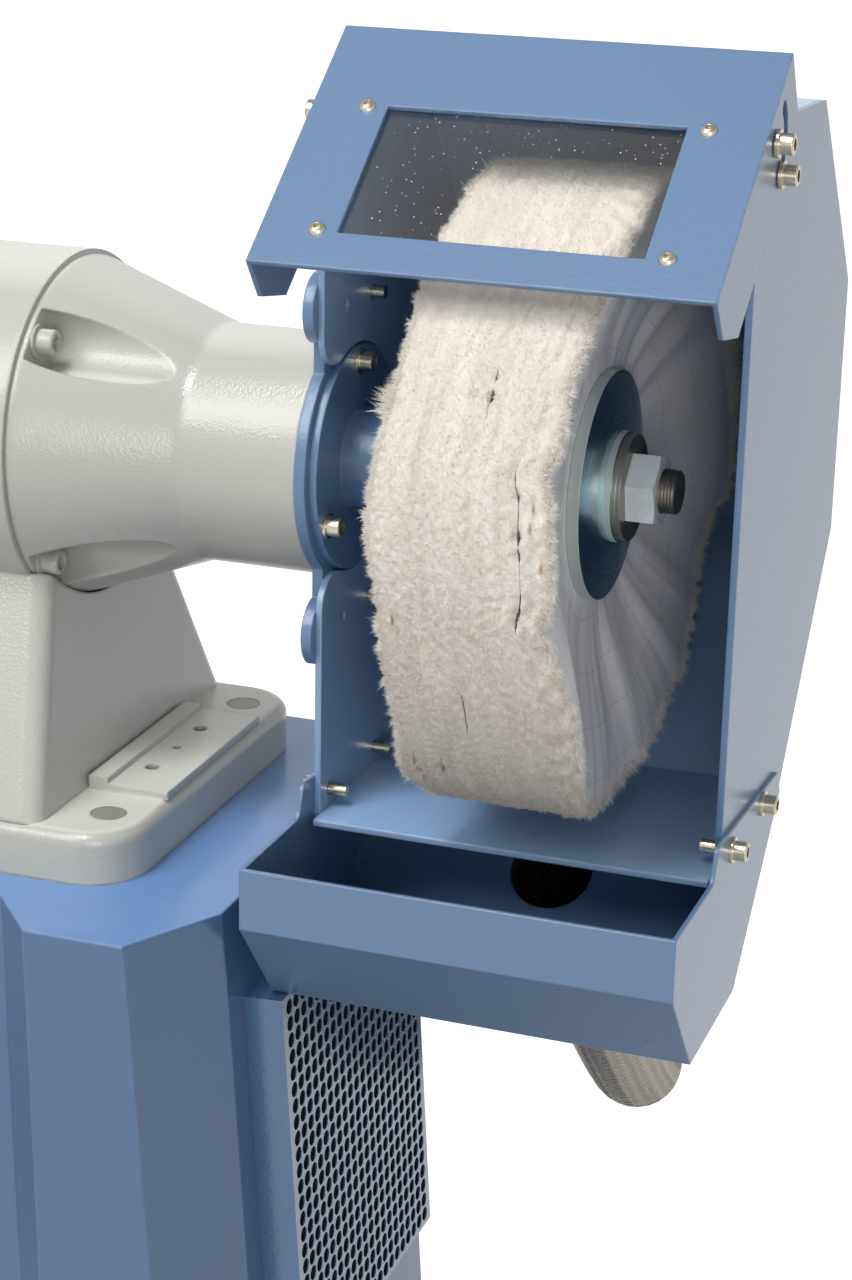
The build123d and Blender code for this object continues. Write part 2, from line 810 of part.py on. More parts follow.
# Tray: a folded trough between two cheeks, screwed outside the hood's walls
heel_slope = (tray_heel_y - tray_floor_back) / (tray_heel_z - tray_floor_z)
trough_end_z = hood_floor_z - tray_sheet
trough_end_y = tray_floor_back + heel_slope * (trough_end_z - tray_floor_z)
duct_hole_z = tray_floor_z + (duct_hole_y - tray_floor_back) / heel_slope
duct_along = Vector(0, tray_heel_z - tray_floor_z, -(tray_heel_y - tray_floor_back)).normalized()
duct_start = Vector(hood_middle, duct_hole_y, spindle_height + duct_hole_z)
duct_plane = Plane(origin=tuple(duct_start), x_dir=(1, 0, 0), z_dir=tuple(duct_along))
with BuildPart() as tray:
    with BuildSketch(side_plane(wall_face)):
        with BuildLine():
            Polyline(
                (tray_front, tray_lip_z),
                (tray_front, tray_bend_z),
                (tray_floor_front, tray_floor_z),
                (tray_floor_back, tray_floor_z),
                (trough_end_y, trough_end_z),
            )
            offset(amount=tray_sheet, side=Side.LEFT, kind=Kind.INTERSECTION)
        make_face()
    extrude(amount=hood_width)
    for station in (wall_face - tray_sheet, hood_end):
        with BuildSketch(side_plane(station)):
            with BuildLine():
                FilletPolyline(
                    (tray_front, tray_lip_z),
                    (tray_front, tray_bend_z),
                    (tray_floor_front, tray_floor_z),
                    (tray_floor_back, tray_floor_z),
                    (tray_heel_y, tray_heel_z),
                    (cheek_top_back_y, cheek_top_back_z),
                    (cheek_step_y, cheek_step_z),
                    (cheek_top_front_y, cheek_top_front_z),
                    radius=[0, 0, 0, 0, 0, 0, cheek_step_r, cheek_step_r],
                    close=True,
                )
            make_face()
            with Locations(*tray_screw_points):
                Circle(hole_r(sheet_thread), mode=Mode.SUBTRACT)
        extrude(amount=tray_sheet)
    with BuildSketch(duct_plane.offset(-2 * tray_sheet)):
        Circle(duct_hole_r)
    extrude(amount=4 * tray_sheet, mode=Mode.SUBTRACT)
write_pair(tray.part, "tray")

with BuildPart() as tray_screws:
    with Locations(side_plane(hood_end + tray_sheet)):
        with Locations(*tray_screw_points):
            add(cap_screw(sheet_thread, tray_screw_grip))
    with Locations(
        Plane(origin=(wall_face - tray_sheet, 0, spindle_height), x_dir=(0, -1, 0), z_dir=(-1, 0, 0))
    ):
        with Locations(*tray_screw_points):
            add(cap_screw(sheet_thread, tray_screw_grip))
    mirror(about=Plane.YZ)
write(tray_screws.part, "tray_screws")

# Flanges, buff, washers and nut on each spindle end
with BuildPart() as inner_flange:
    with BuildSketch(side_plane(inner_flange_station)):
        Circle(flange_r)
        Circle(spindle_thread_r + bore_gap, mode=Mode.SUBTRACT)
    extrude(amount=inner_flange_thickness)
write_pair(inner_flange.part, "inner_flange")

hub_step = buff_hub_width / buff_sections
rim_step = buff_rim_width / buff_sections
buff_hub_r = flange_r + buff_hub_margin
half_gap = buff_section_gap / 2
with BuildPart() as buff:
    for section in range(buff_sections):
        hub_near = buff_inner + section * hub_step + half_gap
        hub_far = buff_inner + (section + 1) * hub_step - half_gap
        rim_near = buff_rim_station + section * rim_step + half_gap
        rim_far = buff_rim_station + (section + 1) * rim_step - half_gap
        with BuildSketch(turning_plane):
            with BuildLine():
                FilletPolyline(
                    (hub_near, spindle_thread_r + 2 * bore_gap),
                    (hub_near, buff_hub_r),
                    (rim_near, buff_dish_r),
                    (rim_near, buff_r),
                    (rim_far, buff_r),
                    (rim_far, buff_dish_r),
                    (hub_far, buff_hub_r),
                    (hub_far, spindle_thread_r + 2 * bore_gap),
                    radius=[0, 0, 0, buff_rim_round, buff_rim_round, 0, 0, 0],
                    close=True,
                )
            make_face()
        revolve(axis=spindle_axis)
write_pair(buff.part, "buff")

with BuildPart() as outer_flange:
    with BuildSketch(turning_plane):
        with BuildLine():
            Polyline(
                (buff_outer, spindle_thread_r + bore_gap),
                (buff_outer, flange_r),
                (buff_outer + outer_flange_rim, flange_r),
                (buff_outer + outer_flange_rim + outer_flange_rise, outer_flange_hub_r),
                (flange_face, outer_flange_hub_r),
                (flange_face, spindle_thread_r + bore_gap),
                close=True,
            )
        make_face()
    revolve(axis=spindle_axis)
write_pair(outer_flange.part, "outer_flange")

with BuildPart() as spindle_washers:
    for count in range(washer_count):
        with BuildSketch(side_plane(flange_face + count * spindle_washer_thickness)):
            Circle(spindle_washer_r)
            Circle(spindle_thread_r + bore_gap, mode=Mode.SUBTRACT)
        extrude(amount=spindle_washer_thickness - bore_gap)
    mirror(about=Plane.YZ)
write(spindle_washers.part, "spindle_washers")

with BuildPart() as spindle_nuts:
    with BuildSketch(side_plane(nut_seat)):
        RegularPolygon(nut_width / 2, 6, major_radius=False, rotation=nut_turn)
    extrude(amount=nut_height)
    with BuildSketch(turning_plane):
        with BuildLine():
            Polyline(
                (nut_seat + nut_height, nut_width / 2 - nut_chamfer),
                (nut_seat + nut_height - nut_width / 8, nut_width),
                (nut_seat + nut_height, nut_width),
                close=True,
            )
        make_face()
    revolve(axis=spindle_axis, mode=Mode.SUBTRACT)
    with BuildSketch(side_plane(nut_seat)):
        Circle(spindle_thread_r + bore_gap)
    extrude(amount=nut_height, mode=Mode.SUBTRACT)
    mirror(about=Plane.YZ)
write(spindle_nuts.part, "spindle_nuts")

# Collars that the ducts push on to: on the trays, and on the pedestal's rear panel
collar_r = duct_bore_r - collar_gap
with BuildPart() as tray_collars:
    with BuildSketch(duct_plane):
        Circle(collar_flange_r)
    extrude(amount=collar_flange)
    with BuildSketch(duct_plane.offset(collar_flange)):
        Circle(collar_r)
    extrude(amount=collar_length)
    with BuildSketch(duct_plane):
        Circle(collar_r - collar_wall)
    extrude(amount=collar_flange + collar_length, mode=Mode.SUBTRACT)
    mirror(about=Plane.YZ)
write(tray_collars.part, "tray_collars")

panel_face = pedestal_back + panel_sheet
rear_duct_plane = Plane(origin=(duct_end_x, panel_face, duct_end_z), x_dir=(1, 0, 0), z_dir=(0, 1, 0))
with BuildPart() as rear_collars:
    with BuildSketch(rear_duct_plane):
        Circle(collar_flange_r)
    extrude(amount=collar_flange)
    with BuildSketch(rear_duct_plane.offset(collar_flange)):
        Circle(collar_r)
    extrude(amount=collar_length)
    with BuildSketch(rear_duct_plane):
        Circle(collar_r - collar_wall)
    extrude(amount=collar_flange + collar_length, mode=Mode.SUBTRACT)
    mirror(about=Plane.YZ)
write(rear_collars.part, "rear_collars")

# Ribbed duct: down and back from the tray, round in a level bend and forward into the rear panel
duct_first = duct_start + duct_along * collar_flange
duct_last = Vector(duct_end_x, panel_face + collar_flange, duct_end_z)
duct_route = [
    duct_first,
    duct_first + duct_along * duct_elbow_run,
    Vector(duct_turn_start_x, duct_turn_start_y, duct_end_z),
    Vector(duct_turn_outer_x, duct_turn_y, duct_end_z),
    Vector(duct_turn_inner_x, duct_turn_y, duct_end_z),
    Vector(duct_end_x, duct_turn_start_y, duct_end_z),
    duct_last,
]
runs = [after - before for before, after in zip(duct_route, duct_route[1:])]
duct_radii = []
for before, after in zip(runs, runs[1:]):
    half_turn = radians(before.get_angle(after)) / 2
    duct_radii.append(duct_bend_share * min(before.length, after.length) / tan(half_turn))
with BuildLine() as duct_path:
    FilletPolyline(*duct_route, radius=duct_radii)
duct_wire = duct_path.wire()
duct_length = duct_wire.length
print("duct length", round(duct_length, 1), "bend radii", [round(radius, 1) for radius in duct_radii])
straight_end = 2 * duct_r
rib_count = int((duct_length - 2 * straight_end) / duct_rib_pitch)
rib_length = (duct_length - 2 * straight_end) / rib_count
print("duct ribs", rib_count)


def duct_section(distance):
    """Plane square to the duct's path, with an X axis that stays level."""
    along = duct_wire.tangent_at(distance / duct_length)
    level = Vector(0, 0, 1).cross(along)
    return Plane(origin=duct_wire.position_at(distance / duct_length), x_dir=level, z_dir=along)


duct_root_r = duct_r - duct_groove
rib_steps = ((0, duct_root_r), (rib_rise, duct_r), (rib_crest_end, duct_r), (rib_fall_end, duct_root_r))
with BuildPart() as duct:
    with BuildSketch(duct_section(0)):
        Circle(duct_root_r)
    for rib in range(rib_count):
        for share, radius in rib_steps:
            with BuildSketch(duct_section(straight_end + (rib + share) * rib_length)):
                Circle(radius)
    with BuildSketch(duct_section(duct_length)):
        Circle(duct_root_r)
    loft(ruled=True)
    with BuildSketch(duct_section(0)):
        Circle(duct_bore_r)
    sweep(path=duct_wire, mode=Mode.SUBTRACT)
write_pair(duct.part, "duct")

# Pedestal column: folded sheet whose sides lean out to the floor, with a recess down its front


def half_width_at(height):
    """Half of the pedestal's width at a height."""
    return pedestal_half_width + pedestal_slope * (pedestal_top - height)


def recess_spread_at(height):
    """How much wider than at the top the recess is on each side, at a height."""
    return recess_slope * (pedestal_top - height)


ceiling = pedestal_top - pedestal_top_thickness
recess_foot = base_thickness - cut_start
front_chamfer_x = pedestal_half_width - post_outer
front_chamfer_y = pedestal_side_front - pedestal_front
rear_chamfer_x = pedestal_half_width - rear_half_width
rear_chamfer_y = pedestal_back - pedestal_side_back
side_plane_normal = Vector(1, 0, pedestal_slope).normalized()
cover_plane = Plane(
    origin=(half_width_at(cover_centre_z), cover_centre_y, cover_centre_z),
    x_dir=(0, 1, 0),
    z_dir=tuple(side_plane_normal),
)
panel_middle_z = panel_bottom + panel_height / 2
front_face = Plane(origin=(0, pedestal_front, 0), x_dir=(1, 0, 0), z_dir=(0, -1, 0))
rear_face = Plane(origin=(0, pedestal_back, 0), x_dir=(-1, 0, 0), z_dir=(0, 1, 0))
panel_screw_spacing_x = panel_width - 2 * panel_screw_inset
panel_screw_spacing_z = panel_height - 2 * panel_screw_inset
with BuildPart() as pedestal_column:
    with BuildSketch(front_face):
        Polygon(
            (-half_width_at(base_thickness), base_thickness),
            (half_width_at(base_thickness), base_thickness),
            (half_width_at(pedestal_top), pedestal_top),
            (-half_width_at(pedestal_top), pedestal_top),
            align=None,
        )
    extrude(amount=pedestal_front - pedestal_back)
    corners = pedestal_column.edges().filter_by(Axis.Y, reverse=True).filter_by(Axis.X, reverse=True)
    chamfer(
        corners.group_by(Axis.Y)[0],
        length=front_chamfer_x,
        length2=front_chamfer_y,
        reference=pedestal_column.faces().sort_by(Axis.Y)[0],
    )
    corners = pedestal_column.edges().group_by(Axis.Y)[-1].filter_by(Axis.X, reverse=True)
    chamfer(
        corners,
        length=rear_chamfer_x,
        length2=rear_chamfer_y,
        reference=pedestal_column.faces().sort_by(Axis.Y)[-1],
    )
    for end in (-1, 1):
        with BuildSketch(Plane.XY.offset(recess_foot)):
            Polygon(
                (0, pedestal_front),
                (end * (post_inner + recess_spread_at(recess_foot)), pedestal_front),
                (end * (recess_half_width + recess_spread_at(recess_foot)), recess_y),
                (0, recess_y),
                align=None,
            )
        extrude(amount=pedestal_top, dir=(-end * recess_slope, 0, 1), mode=Mode.SUBTRACT)
    offset(
        amount=-pedestal_wall,
        openings=pedestal_column.faces().sort_by(Axis.Z)[0],
        kind=Kind.INTERSECTION,
    )
    extrude(pedestal_column.faces().sort_by(Axis.Z)[-1], amount=-pedestal_top_thickness)
    with BuildSketch(cover_plane):
        Rectangle(cover_width - 2 * exhaust_window_inset, cover_height - 2 * exhaust_window_inset)
    extrude(amount=-cut_depth, mode=Mode.SUBTRACT)
    with BuildSketch(rear_face):
        with Locations((0, panel_middle_z)):
            Rectangle(panel_width - 2 * panel_lap, panel_height - 2 * panel_lap)
    extrude(amount=-cut_depth, mode=Mode.SUBTRACT)
    with BuildSketch(rear_face):
        with Locations((0, panel_middle_z)):
            with GridLocations(panel_screw_spacing_x, panel_screw_spacing_z / 2, 2, 3):
                Circle(hole_r(panel_thread))
        with Locations((-gland_x, gland_z)):
            Circle(gland_thread_r + hole_clearance)
    extrude(amount=-cut_depth, mode=Mode.SUBTRACT)
    with BuildSketch(Plane.XY.offset(ceiling)):
        with GridLocations(foot_bolt_spacing_x, foot_bolt_spacing_y, 2, 2):
            Circle(hole_r(foot_thread))
    extrude(amount=pedestal_top_thickness, mode=Mode.SUBTRACT)
write(pedestal_column.part, "pedestal_column")

# Base plate with an anchor hole in each corner
base_length = 2 * (half_width_at(base_thickness) + base_margin)
base_width = pedestal_back - pedestal_front + 2 * base_margin
base_middle = (pedestal_back + pedestal_front) / 2
with BuildPart() as base_plate:
    with BuildSketch(Plane.XY):
        with Locations((0, base_middle)):
            RectangleRounded(base_length, base_width, base_margin / 2)
            with GridLocations(base_length - 2 * anchor_inset, base_width - 2 * anchor_inset, 2, 2):
                Circle(anchor_hole_r, mode=Mode.SUBTRACT)
    extrude(amount=base_thickness)
write(base_plate.part, "base_plate")

# Rear panel and its screws
with BuildPart() as rear_panel:
    with BuildSketch(rear_face):
        with Locations((0, panel_middle_z)):
            Rectangle(panel_width, panel_height)
            with GridLocations(panel_screw_spacing_x, panel_screw_spacing_z / 2, 2, 3):
                Circle(hole_r(panel_thread), mode=Mode.SUBTRACT)
        with Locations((duct_end_x, duct_end_z), (-duct_end_x, duct_end_z)):
            Circle(collar_r - collar_wall, mode=Mode.SUBTRACT)
    extrude(amount=panel_sheet)
write(rear_panel.part, "rear_panel")

with BuildPart() as panel_screws:
    with Locations(rear_face.offset(panel_sheet)):
        with Locations((0, panel_middle_z)):
            with GridLocations(panel_screw_spacing_x, panel_screw_spacing_z / 2, 2, 3):
                add(button_screw(panel_thread, panel_sheet + pedestal_wall + panel_thread))
write(panel_screws.part, "panel_screws")

# Exhaust cover: a shallow box with a perforated face, and the black mat behind its holes
with BuildPart() as exhaust_cover:
    with BuildSketch(cover_plane):
        Rectangle(cover_width, cover_height)
    extrude(amount=cover_depth)
    with BuildSketch(cover_plane):
        Rectangle(cover_width - 2 * cover_sheet, cover_height - 2 * cover_sheet)
    extrude(amount=cover_depth - cover_sheet, mode=Mode.SUBTRACT)
    with BuildSketch(cover_plane.offset(cover_depth)):
        with GridLocations(perforation_pitch, perforation_pitch, perforation_columns, perforation_rows):
            Circle(perforation_r)
    extrude(amount=-2 * cover_sheet, mode=Mode.SUBTRACT)
write(exhaust_cover.part, "exhaust_cover")

with BuildPart() as exhaust_mat:
    with BuildSketch(cover_plane.offset(cover_depth - cover_sheet - mat_thickness)):
        Rectangle(cover_width - 2 * cover_sheet, cover_height - 2 * cover_sheet)
    extrude(amount=mat_thickness)
write(exhaust_mat.part, "exhaust_mat")

# Fan shelf and the extraction fan that stands on it
shelf_top = fan_z - fan_r - fan_foot_height
shelf_half_width = half_width_at(shelf_top)
shelf_recess_spread = recess_spread_at(shelf_top)
shelf_right = [
    (recess_half_width + shelf_recess_spread, recess_y),
    (post_inner + shelf_recess_spread, pedestal_front),
    (shelf_half_width - front_chamfer_x, pedestal_front),
    (shelf_half_width, pedestal_side_front),
    (shelf_half_width, pedestal_side_back),
    (shelf_half_width - rear_chamfer_x, pedestal_back),
]
shelf_left = [(-x, y) for x, y in reversed(shelf_right)]
with BuildPart() as fan_shelf:
    with BuildSketch(Plane.XY.offset(shelf_top)):
        Polygon(shelf_right + shelf_left, align=None)
        offset(amount=-pedestal_wall - shelf_gap, kind=Kind.INTERSECTION)
    extrude(amount=-shelf_thickness)
write(fan_shelf.part, "fan_shelf")

fan_front = -fan_width / 2
fan_plane = Plane(origin=(fan_x, fan_front, fan_z), x_dir=(-1, 0, 0), z_dir=(0, 1, 0))
outlet_end = half_width_at(fan_z + fan_r) - 2 * pedestal_wall
outlet_length = outlet_end - fan_x
outlet_z = fan_r - fan_outlet_height / 2
with BuildPart() as fan_housing:
    with BuildSketch(fan_plane):
        Circle(fan_r)
        with Locations((-outlet_length / 2, outlet_z)):
            Rectangle(outlet_length, fan_outlet_height)
    extrude(amount=fan_width)
    with BuildSketch(fan_plane.offset(fan_sheet)):
        Circle(fan_r - fan_sheet)
        with Locations((-outlet_length / 2, outlet_z)):
            Rectangle(outlet_length, fan_outlet_height - 2 * fan_sheet)
    extrude(amount=fan_width - 2 * fan_sheet, mode=Mode.SUBTRACT)
    with BuildSketch(fan_plane.offset(fan_width - fan_sheet)):
        Circle(fan_inlet_r)
    extrude(amount=fan_sheet, mode=Mode.SUBTRACT)
    with BuildSketch(fan_plane):
        Circle(impeller_hub_r)
    extrude(amount=fan_sheet, mode=Mode.SUBTRACT)
    with BuildSketch(fan_plane):
        with Locations((0, -fan_r)):
            Rectangle(fan_foot_length, 2 * fan_foot_height)
        Circle(fan_r - fan_sheet / 2, mode=Mode.SUBTRACT)
    extrude(amount=fan_width)
write(fan_housing.part, "fan_housing")

impeller_front = (fan_width - impeller_width) / 2
with BuildPart() as fan_impeller:
    with BuildSketch(fan_plane.offset(impeller_front)):
        Circle(impeller_r)
    extrude(amount=impeller_disc)
    with BuildSketch(fan_plane.offset(impeller_front + impeller_disc)):
        with PolarLocations(impeller_r - impeller_blade_depth / 2, impeller_blades):
            Rectangle(impeller_blade_depth, impeller_blade_thickness, rotation=impeller_blade_lean)
    extrude(amount=impeller_width - impeller_disc)
    with BuildSketch(fan_plane.offset(impeller_front)):
        Circle(impeller_hub_r)
    extrude(amount=impeller_width / 2)
    with BuildSketch(fan_plane.offset(impeller_front)):
        Circle(fan_shaft_r)
    extrude(amount=-impeller_front - fan_shaft_reach)
write(fan_impeller.part, "fan_impeller")

with BuildPart() as fan_motor:
    with BuildSketch(fan_plane):
        Circle(fan_motor_r)
    extrude(amount=-fan_motor_length)
    fillet(fan_motor.faces().sort_by(Axis.Y)[0].edges(), radius=fan_motor_r / 8)
    with BuildSketch(fan_plane):
        Circle(fan_shaft_r + running_gap)
    extrude(amount=-fan_shaft_reach - fan_sheet, mode=Mode.SUBTRACT)
write(fan_motor.part, "fan_motor")

# Switch box in the recess, with a start and a stop button
switch_plane = Plane(origin=(0, recess_y, switch_z), x_dir=(1, 0, 0), z_dir=(0, -1, 0))
button_places = ((0, button_spacing / 2), (0, -button_spacing / 2))
stem_bore_depth = button_stem_length + button_travel + button_gap
with BuildPart() as switch_box:
    with BuildSketch(switch_plane):
        RectangleRounded(switch_width, switch_height, switch_corner_r)
    extrude(amount=switch_depth)
    fillet(switch_box.faces().sort_by(Axis.Y)[0].edges(), radius=switch_corner_r / 3)
    with BuildSketch(switch_plane.offset(switch_depth)):
        with Locations(*button_places):
            Circle(bezel_r)
    extrude(amount=bezel_height)
    with BuildSketch(switch_plane.offset(switch_depth + bezel_height)):
        with Locations(*button_places):
            Circle(button_stem_r + button_gap)
    extrude(amount=-stem_bore_depth, mode=Mode.SUBTRACT)
write(switch_box.part, "switch_box")

for name, place, cap_r in zip(("start_button", "stop_button"), button_places, (start_r, stop_r)):
    with BuildPart() as button:
        with BuildSketch(switch_plane.offset(switch_depth + bezel_height + button_travel + button_gap)):
            with Locations(place):
                Circle(cap_r)
        extrude(amount=button_cap)
        fillet(button.faces().sort_by(Axis.Y)[0].edges(), radius=button_cap / 3)
        with BuildSketch(switch_plane.offset(switch_depth + bezel_height + button_travel + button_gap)):
            with Locations(place):
                Circle(button_stem_r)
        extrude(amount=-button_stem_length)
    write(button.part, name)

# Cable gland low on the pedestal's back
with BuildPart() as cable_gland:
    with BuildSketch(rear_face):
        with Locations((-gland_x, gland_z)):
            RegularPolygon(gland_hex / 2, 6, major_radius=False)
    extrude(amount=gland_body)
    with BuildSketch(rear_face.offset(gland_body)):
        with Locations((-gland_x, gland_z)):
            Circle(gland_hex / 2 - gland_shoulder)
    extrude(amount=gland_dome, taper=gland_taper)
    with BuildSketch(rear_face):
        with Locations((-gland_x, gland_z)):
            Circle(gland_thread_r)
    extrude(amount=-3 * pedestal_wall)
    with BuildSketch(rear_face.offset(gland_body + gland_dome)):
        with Locations((-gland_x, gland_z)):
            Circle(gland_bore_r)
    extrude(amount=-gland_body - gland_dome - 3 * pedestal_wall, mode=Mode.SUBTRACT)
write(cable_gland.part, "cable_gland")
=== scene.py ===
import math

import bmesh
import bpy
import numpy as np
from bpy.props import FloatProperty, FloatVectorProperty, IntProperty, PointerProperty
from mathutils import Matrix, Vector, noise


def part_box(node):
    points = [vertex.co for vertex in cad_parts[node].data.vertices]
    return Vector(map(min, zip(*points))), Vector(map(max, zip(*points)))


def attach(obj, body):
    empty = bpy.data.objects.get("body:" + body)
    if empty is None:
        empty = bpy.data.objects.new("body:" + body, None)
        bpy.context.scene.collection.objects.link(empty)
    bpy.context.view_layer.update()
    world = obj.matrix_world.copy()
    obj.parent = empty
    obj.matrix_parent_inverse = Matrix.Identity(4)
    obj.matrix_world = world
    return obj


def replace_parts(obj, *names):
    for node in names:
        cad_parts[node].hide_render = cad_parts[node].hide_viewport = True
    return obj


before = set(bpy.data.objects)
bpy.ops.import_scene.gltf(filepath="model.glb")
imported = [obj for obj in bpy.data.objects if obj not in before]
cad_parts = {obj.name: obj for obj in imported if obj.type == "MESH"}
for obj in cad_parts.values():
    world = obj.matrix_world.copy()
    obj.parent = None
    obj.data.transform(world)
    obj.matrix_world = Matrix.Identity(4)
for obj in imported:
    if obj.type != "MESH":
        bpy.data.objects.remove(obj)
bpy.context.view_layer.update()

bl_info = {
    "name": "Polishing Machine",
    "version": (1, 0, 0),
    "blender": (4, 5, 0),
    "location": "3D View > Sidebar > Polisher",
    "description": "Finishes and soft pieces of a double-ended polishing machine on a pedestal",
    "category": "Object",
}

# The machine stands on the floor at z = 0. X runs along the spindle, Y from the operator to the back.
# All lengths are in metres, as the frame's are, and mm turns millimetres into them.
mm = 0.001
spindle_height = 1000 * mm

# The picture's frame and where its camera stands
photo_width = 852
photo_height = 1280
photo_focal = 2795.24
sensor_size = 36.0
camera_place = (668.77 * mm, -1159.72 * mm, 1336.85 * mm)

# The right-hand duct runs from the tray's collar round the back into the pedestal's rear panel
duct_route = (
    (322.65 * mm, 26.336 * mm, 796.127 * mm),
    (322.65 * mm, 196.653 * mm, 606.346 * mm),
    (316 * mm, 249 * mm, 593 * mm),
    (246 * mm, 338 * mm, 593 * mm),
    (138 * mm, 338 * mm, 593 * mm),
    (62 * mm, 249 * mm, 593 * mm),
    (62 * mm, 137 * mm, 593 * mm),
)
duct_r = 25 * mm
duct_turns = 128
rings_per_turn = 12
wave_depth = 0.5 * mm
seam_depth = 0.9 * mm

# The buff's cloth between the flanges, its bore, and where it starts to frill
buff_hub_near = 270.2 * mm
buff_hub_far = 345.2 * mm
buff_bore_r = 22 * mm
buff_flat_r = 56 * mm
buff_width = 78 * mm
# The rim waves in and out: where its two edges lie along the spindle and how far it is from the axis,
# in millimetres, every 20 degrees from the top towards the front
near_edge = (292, 294, 294, 294, 288, 293, 295, 288, 292, 290, 294, 289, 295, 290, 287, 293, 296, 290)
far_edge = (370, 372, 371, 366, 366, 368, 375, 368, 360, 358, 362, 365, 362, 373, 369, 361, 366, 370)
rim_radius = (138, 139, 142, 145, 146, 146, 147, 147, 147, 147, 147, 146, 147, 146, 145, 144, 143, 140)
# No frayed thread reaches farther from the axis, so that none touches the visor's window as the buff turns.
thread_reach = 152.5 * mm
# Bites torn out of the outer edge, as (degrees from the top towards the front, depth in millimetres)
torn_places = ((74, 4.5), (99, 4.0), (250, 3.0))
# Where the sewn sections meet, as shares of the rim's width
section_edges = (0.0, 0.1, 0.26, 0.42, 0.565, 0.835, 1.0)
buff_sections = len(section_edges) - 1
# Open slits, as (which meeting of sections, degrees from the top, half length in degrees, millimetres wide)
slits = (
    (1, 139, 5, 5.0), (2, 137, 4, 2.2), (3, 117, 4, 1.1), (4, 61, 3, 1.3),
    (5, 77, 3, 1.1), (5, 85, 3, 1.6), (5, 96, 3.5, 1.5), (1, 318, 7, 2.5),
    (2, 230, 8, 1.8), (3, 275, 6, 2.0), (4, 190, 7, 1.6), (5, 300, 6, 2.2),
)
# Brown marks of polish, as (share of the rim's width, degrees from the top)
marks = ((0.915, 79), (0.905, 82), (0.955, 88), (0.56, 63), (0.1, 100), (0.92, 210), (0.3, 285), (0.7, 330))
# Points round the wheel, and along the faces and the rim of the cloth
wheel_steps = 720
open_face_steps = 26
hidden_face_steps = 6
rim_steps = 60
# Loose strands are made from one by doubling it this many times.
nap_doublings = 17
fringe_doublings = 16
nap_half_width = 0.15 * mm
nap_root_depth = 0.3 * mm
thread_half_width = 0.16 * mm
# The circles of stitches are counted from this one, so that the first in view is just outside the flange.
first_stitches_r = 13 * mm
stitches_per_circle = 160
# The cloth's threads are drawn this far apart, because finer ones don't show.
thread_spacing = 1.4 * mm

# The pedestal's sides lean in by this much for each unit of height, and the exhaust cover with them
side_lean = 0.067
mat_thickness = 10 * mm
mat_edge_r = 3 * mm
mat_unevenness = 0.45 * mm
mat_bumps_per_metre = 200


def linear(hex_colour):
    """Linear colour of an sRGB hex value."""
    parts = [int(hex_colour[i:i + 2], 16) / 255 for i in (1, 3, 5)]
    return tuple(p / 12.92 if p <= 0.04045 else ((p + 0.055) / 1.055) ** 2.4 for p in parts)


class PolisherColours(bpy.types.PropertyGroup):
    """Colours of the paints, plastics and cloth."""

    sheet_blue: FloatVectorProperty(
        name="Sheet blue", description="Structured paint of hoods, visors and trays",
        subtype="COLOR", min=0, max=1, default=linear("#5a7698"))
    pedestal_blue: FloatVectorProperty(
        name="Pedestal blue", description="Glossy paint of the pedestal",
        subtype="COLOR", min=0, max=1, default=linear("#49668c"))
    motor_grey: FloatVectorProperty(
        name="Motor grey", description="Structured paint of the motor's castings",
        subtype="COLOR", min=0, max=1, default=linear("#aeaea6"))
    cotton: FloatVectorProperty(
        name="Cotton", description="Unbleached cloth of the buffs",
        subtype="COLOR", min=0, max=1, default=linear("#e6e0d9"))
    start_green: FloatVectorProperty(
        name="Start green", description="Start button",
        subtype="COLOR", min=0, max=1, default=linear("#1f8a3c"))
    stop_red: FloatVectorProperty(
        name="Stop red", description="Stop button",
        subtype="COLOR", min=0, max=1, default=linear("#b81f1f"))


class PolisherSizes(bpy.types.PropertyGroup):
    """Sizes of the soft pieces and of the finishes' grain."""

    nap_length: FloatProperty(
        name="Nap length", description="How far the brushed cotton stands off the buff's rim",
        subtype="DISTANCE", unit="LENGTH", default=1.8 * mm)
    fringe_length: FloatProperty(
        name="Fringe length", description="Length of the frayed threads at the buff's edges",
        subtype="DISTANCE", unit="LENGTH", default=4.4 * mm)
    stitch_spacing: FloatProperty(
        name="Stitch spacing", description="Distance between the buff's circles of stitches",
        subtype="DISTANCE", unit="LENGTH", default=24 * mm)
    sheet_grain: FloatProperty(
        name="Sheet grain", description="Grain of the structured blue paint",
        subtype="DISTANCE", unit="LENGTH", default=2.4 * mm)
    casting_grain: FloatProperty(
        name="Casting grain", description="Grain of the motor's paint",
        subtype="DISTANCE", unit="LENGTH", default=1.3 * mm)
    duct_sides: IntProperty(
        name="Duct sides", description="Sides of the duct's tube", default=28, min=12, max=48)


class PolisherView(bpy.types.PropertyGroup):
    """The photograph's view and its light."""

    azimuth: FloatProperty(
        name="Azimuth", description="How far the camera stands round to the right",
        subtype="ANGLE", unit="ROTATION", default=math.radians(19.2))
    pitch: FloatProperty(
        name="Pitch", description="How far the camera looks down",
        subtype="ANGLE", unit="ROTATION", default=math.radians(18.934))
    roll: FloatProperty(
        name="Roll", description="How far the camera is turned about its own axis",
        subtype="ANGLE", unit="ROTATION", default=math.radians(1.198))
    key_power: FloatProperty(
        name="Key power", description="Power of the main softbox", unit="POWER", default=42.0)
    sky_level: FloatProperty(
        name="Sky level", description="Strength of the even light from all round", default=0.42)


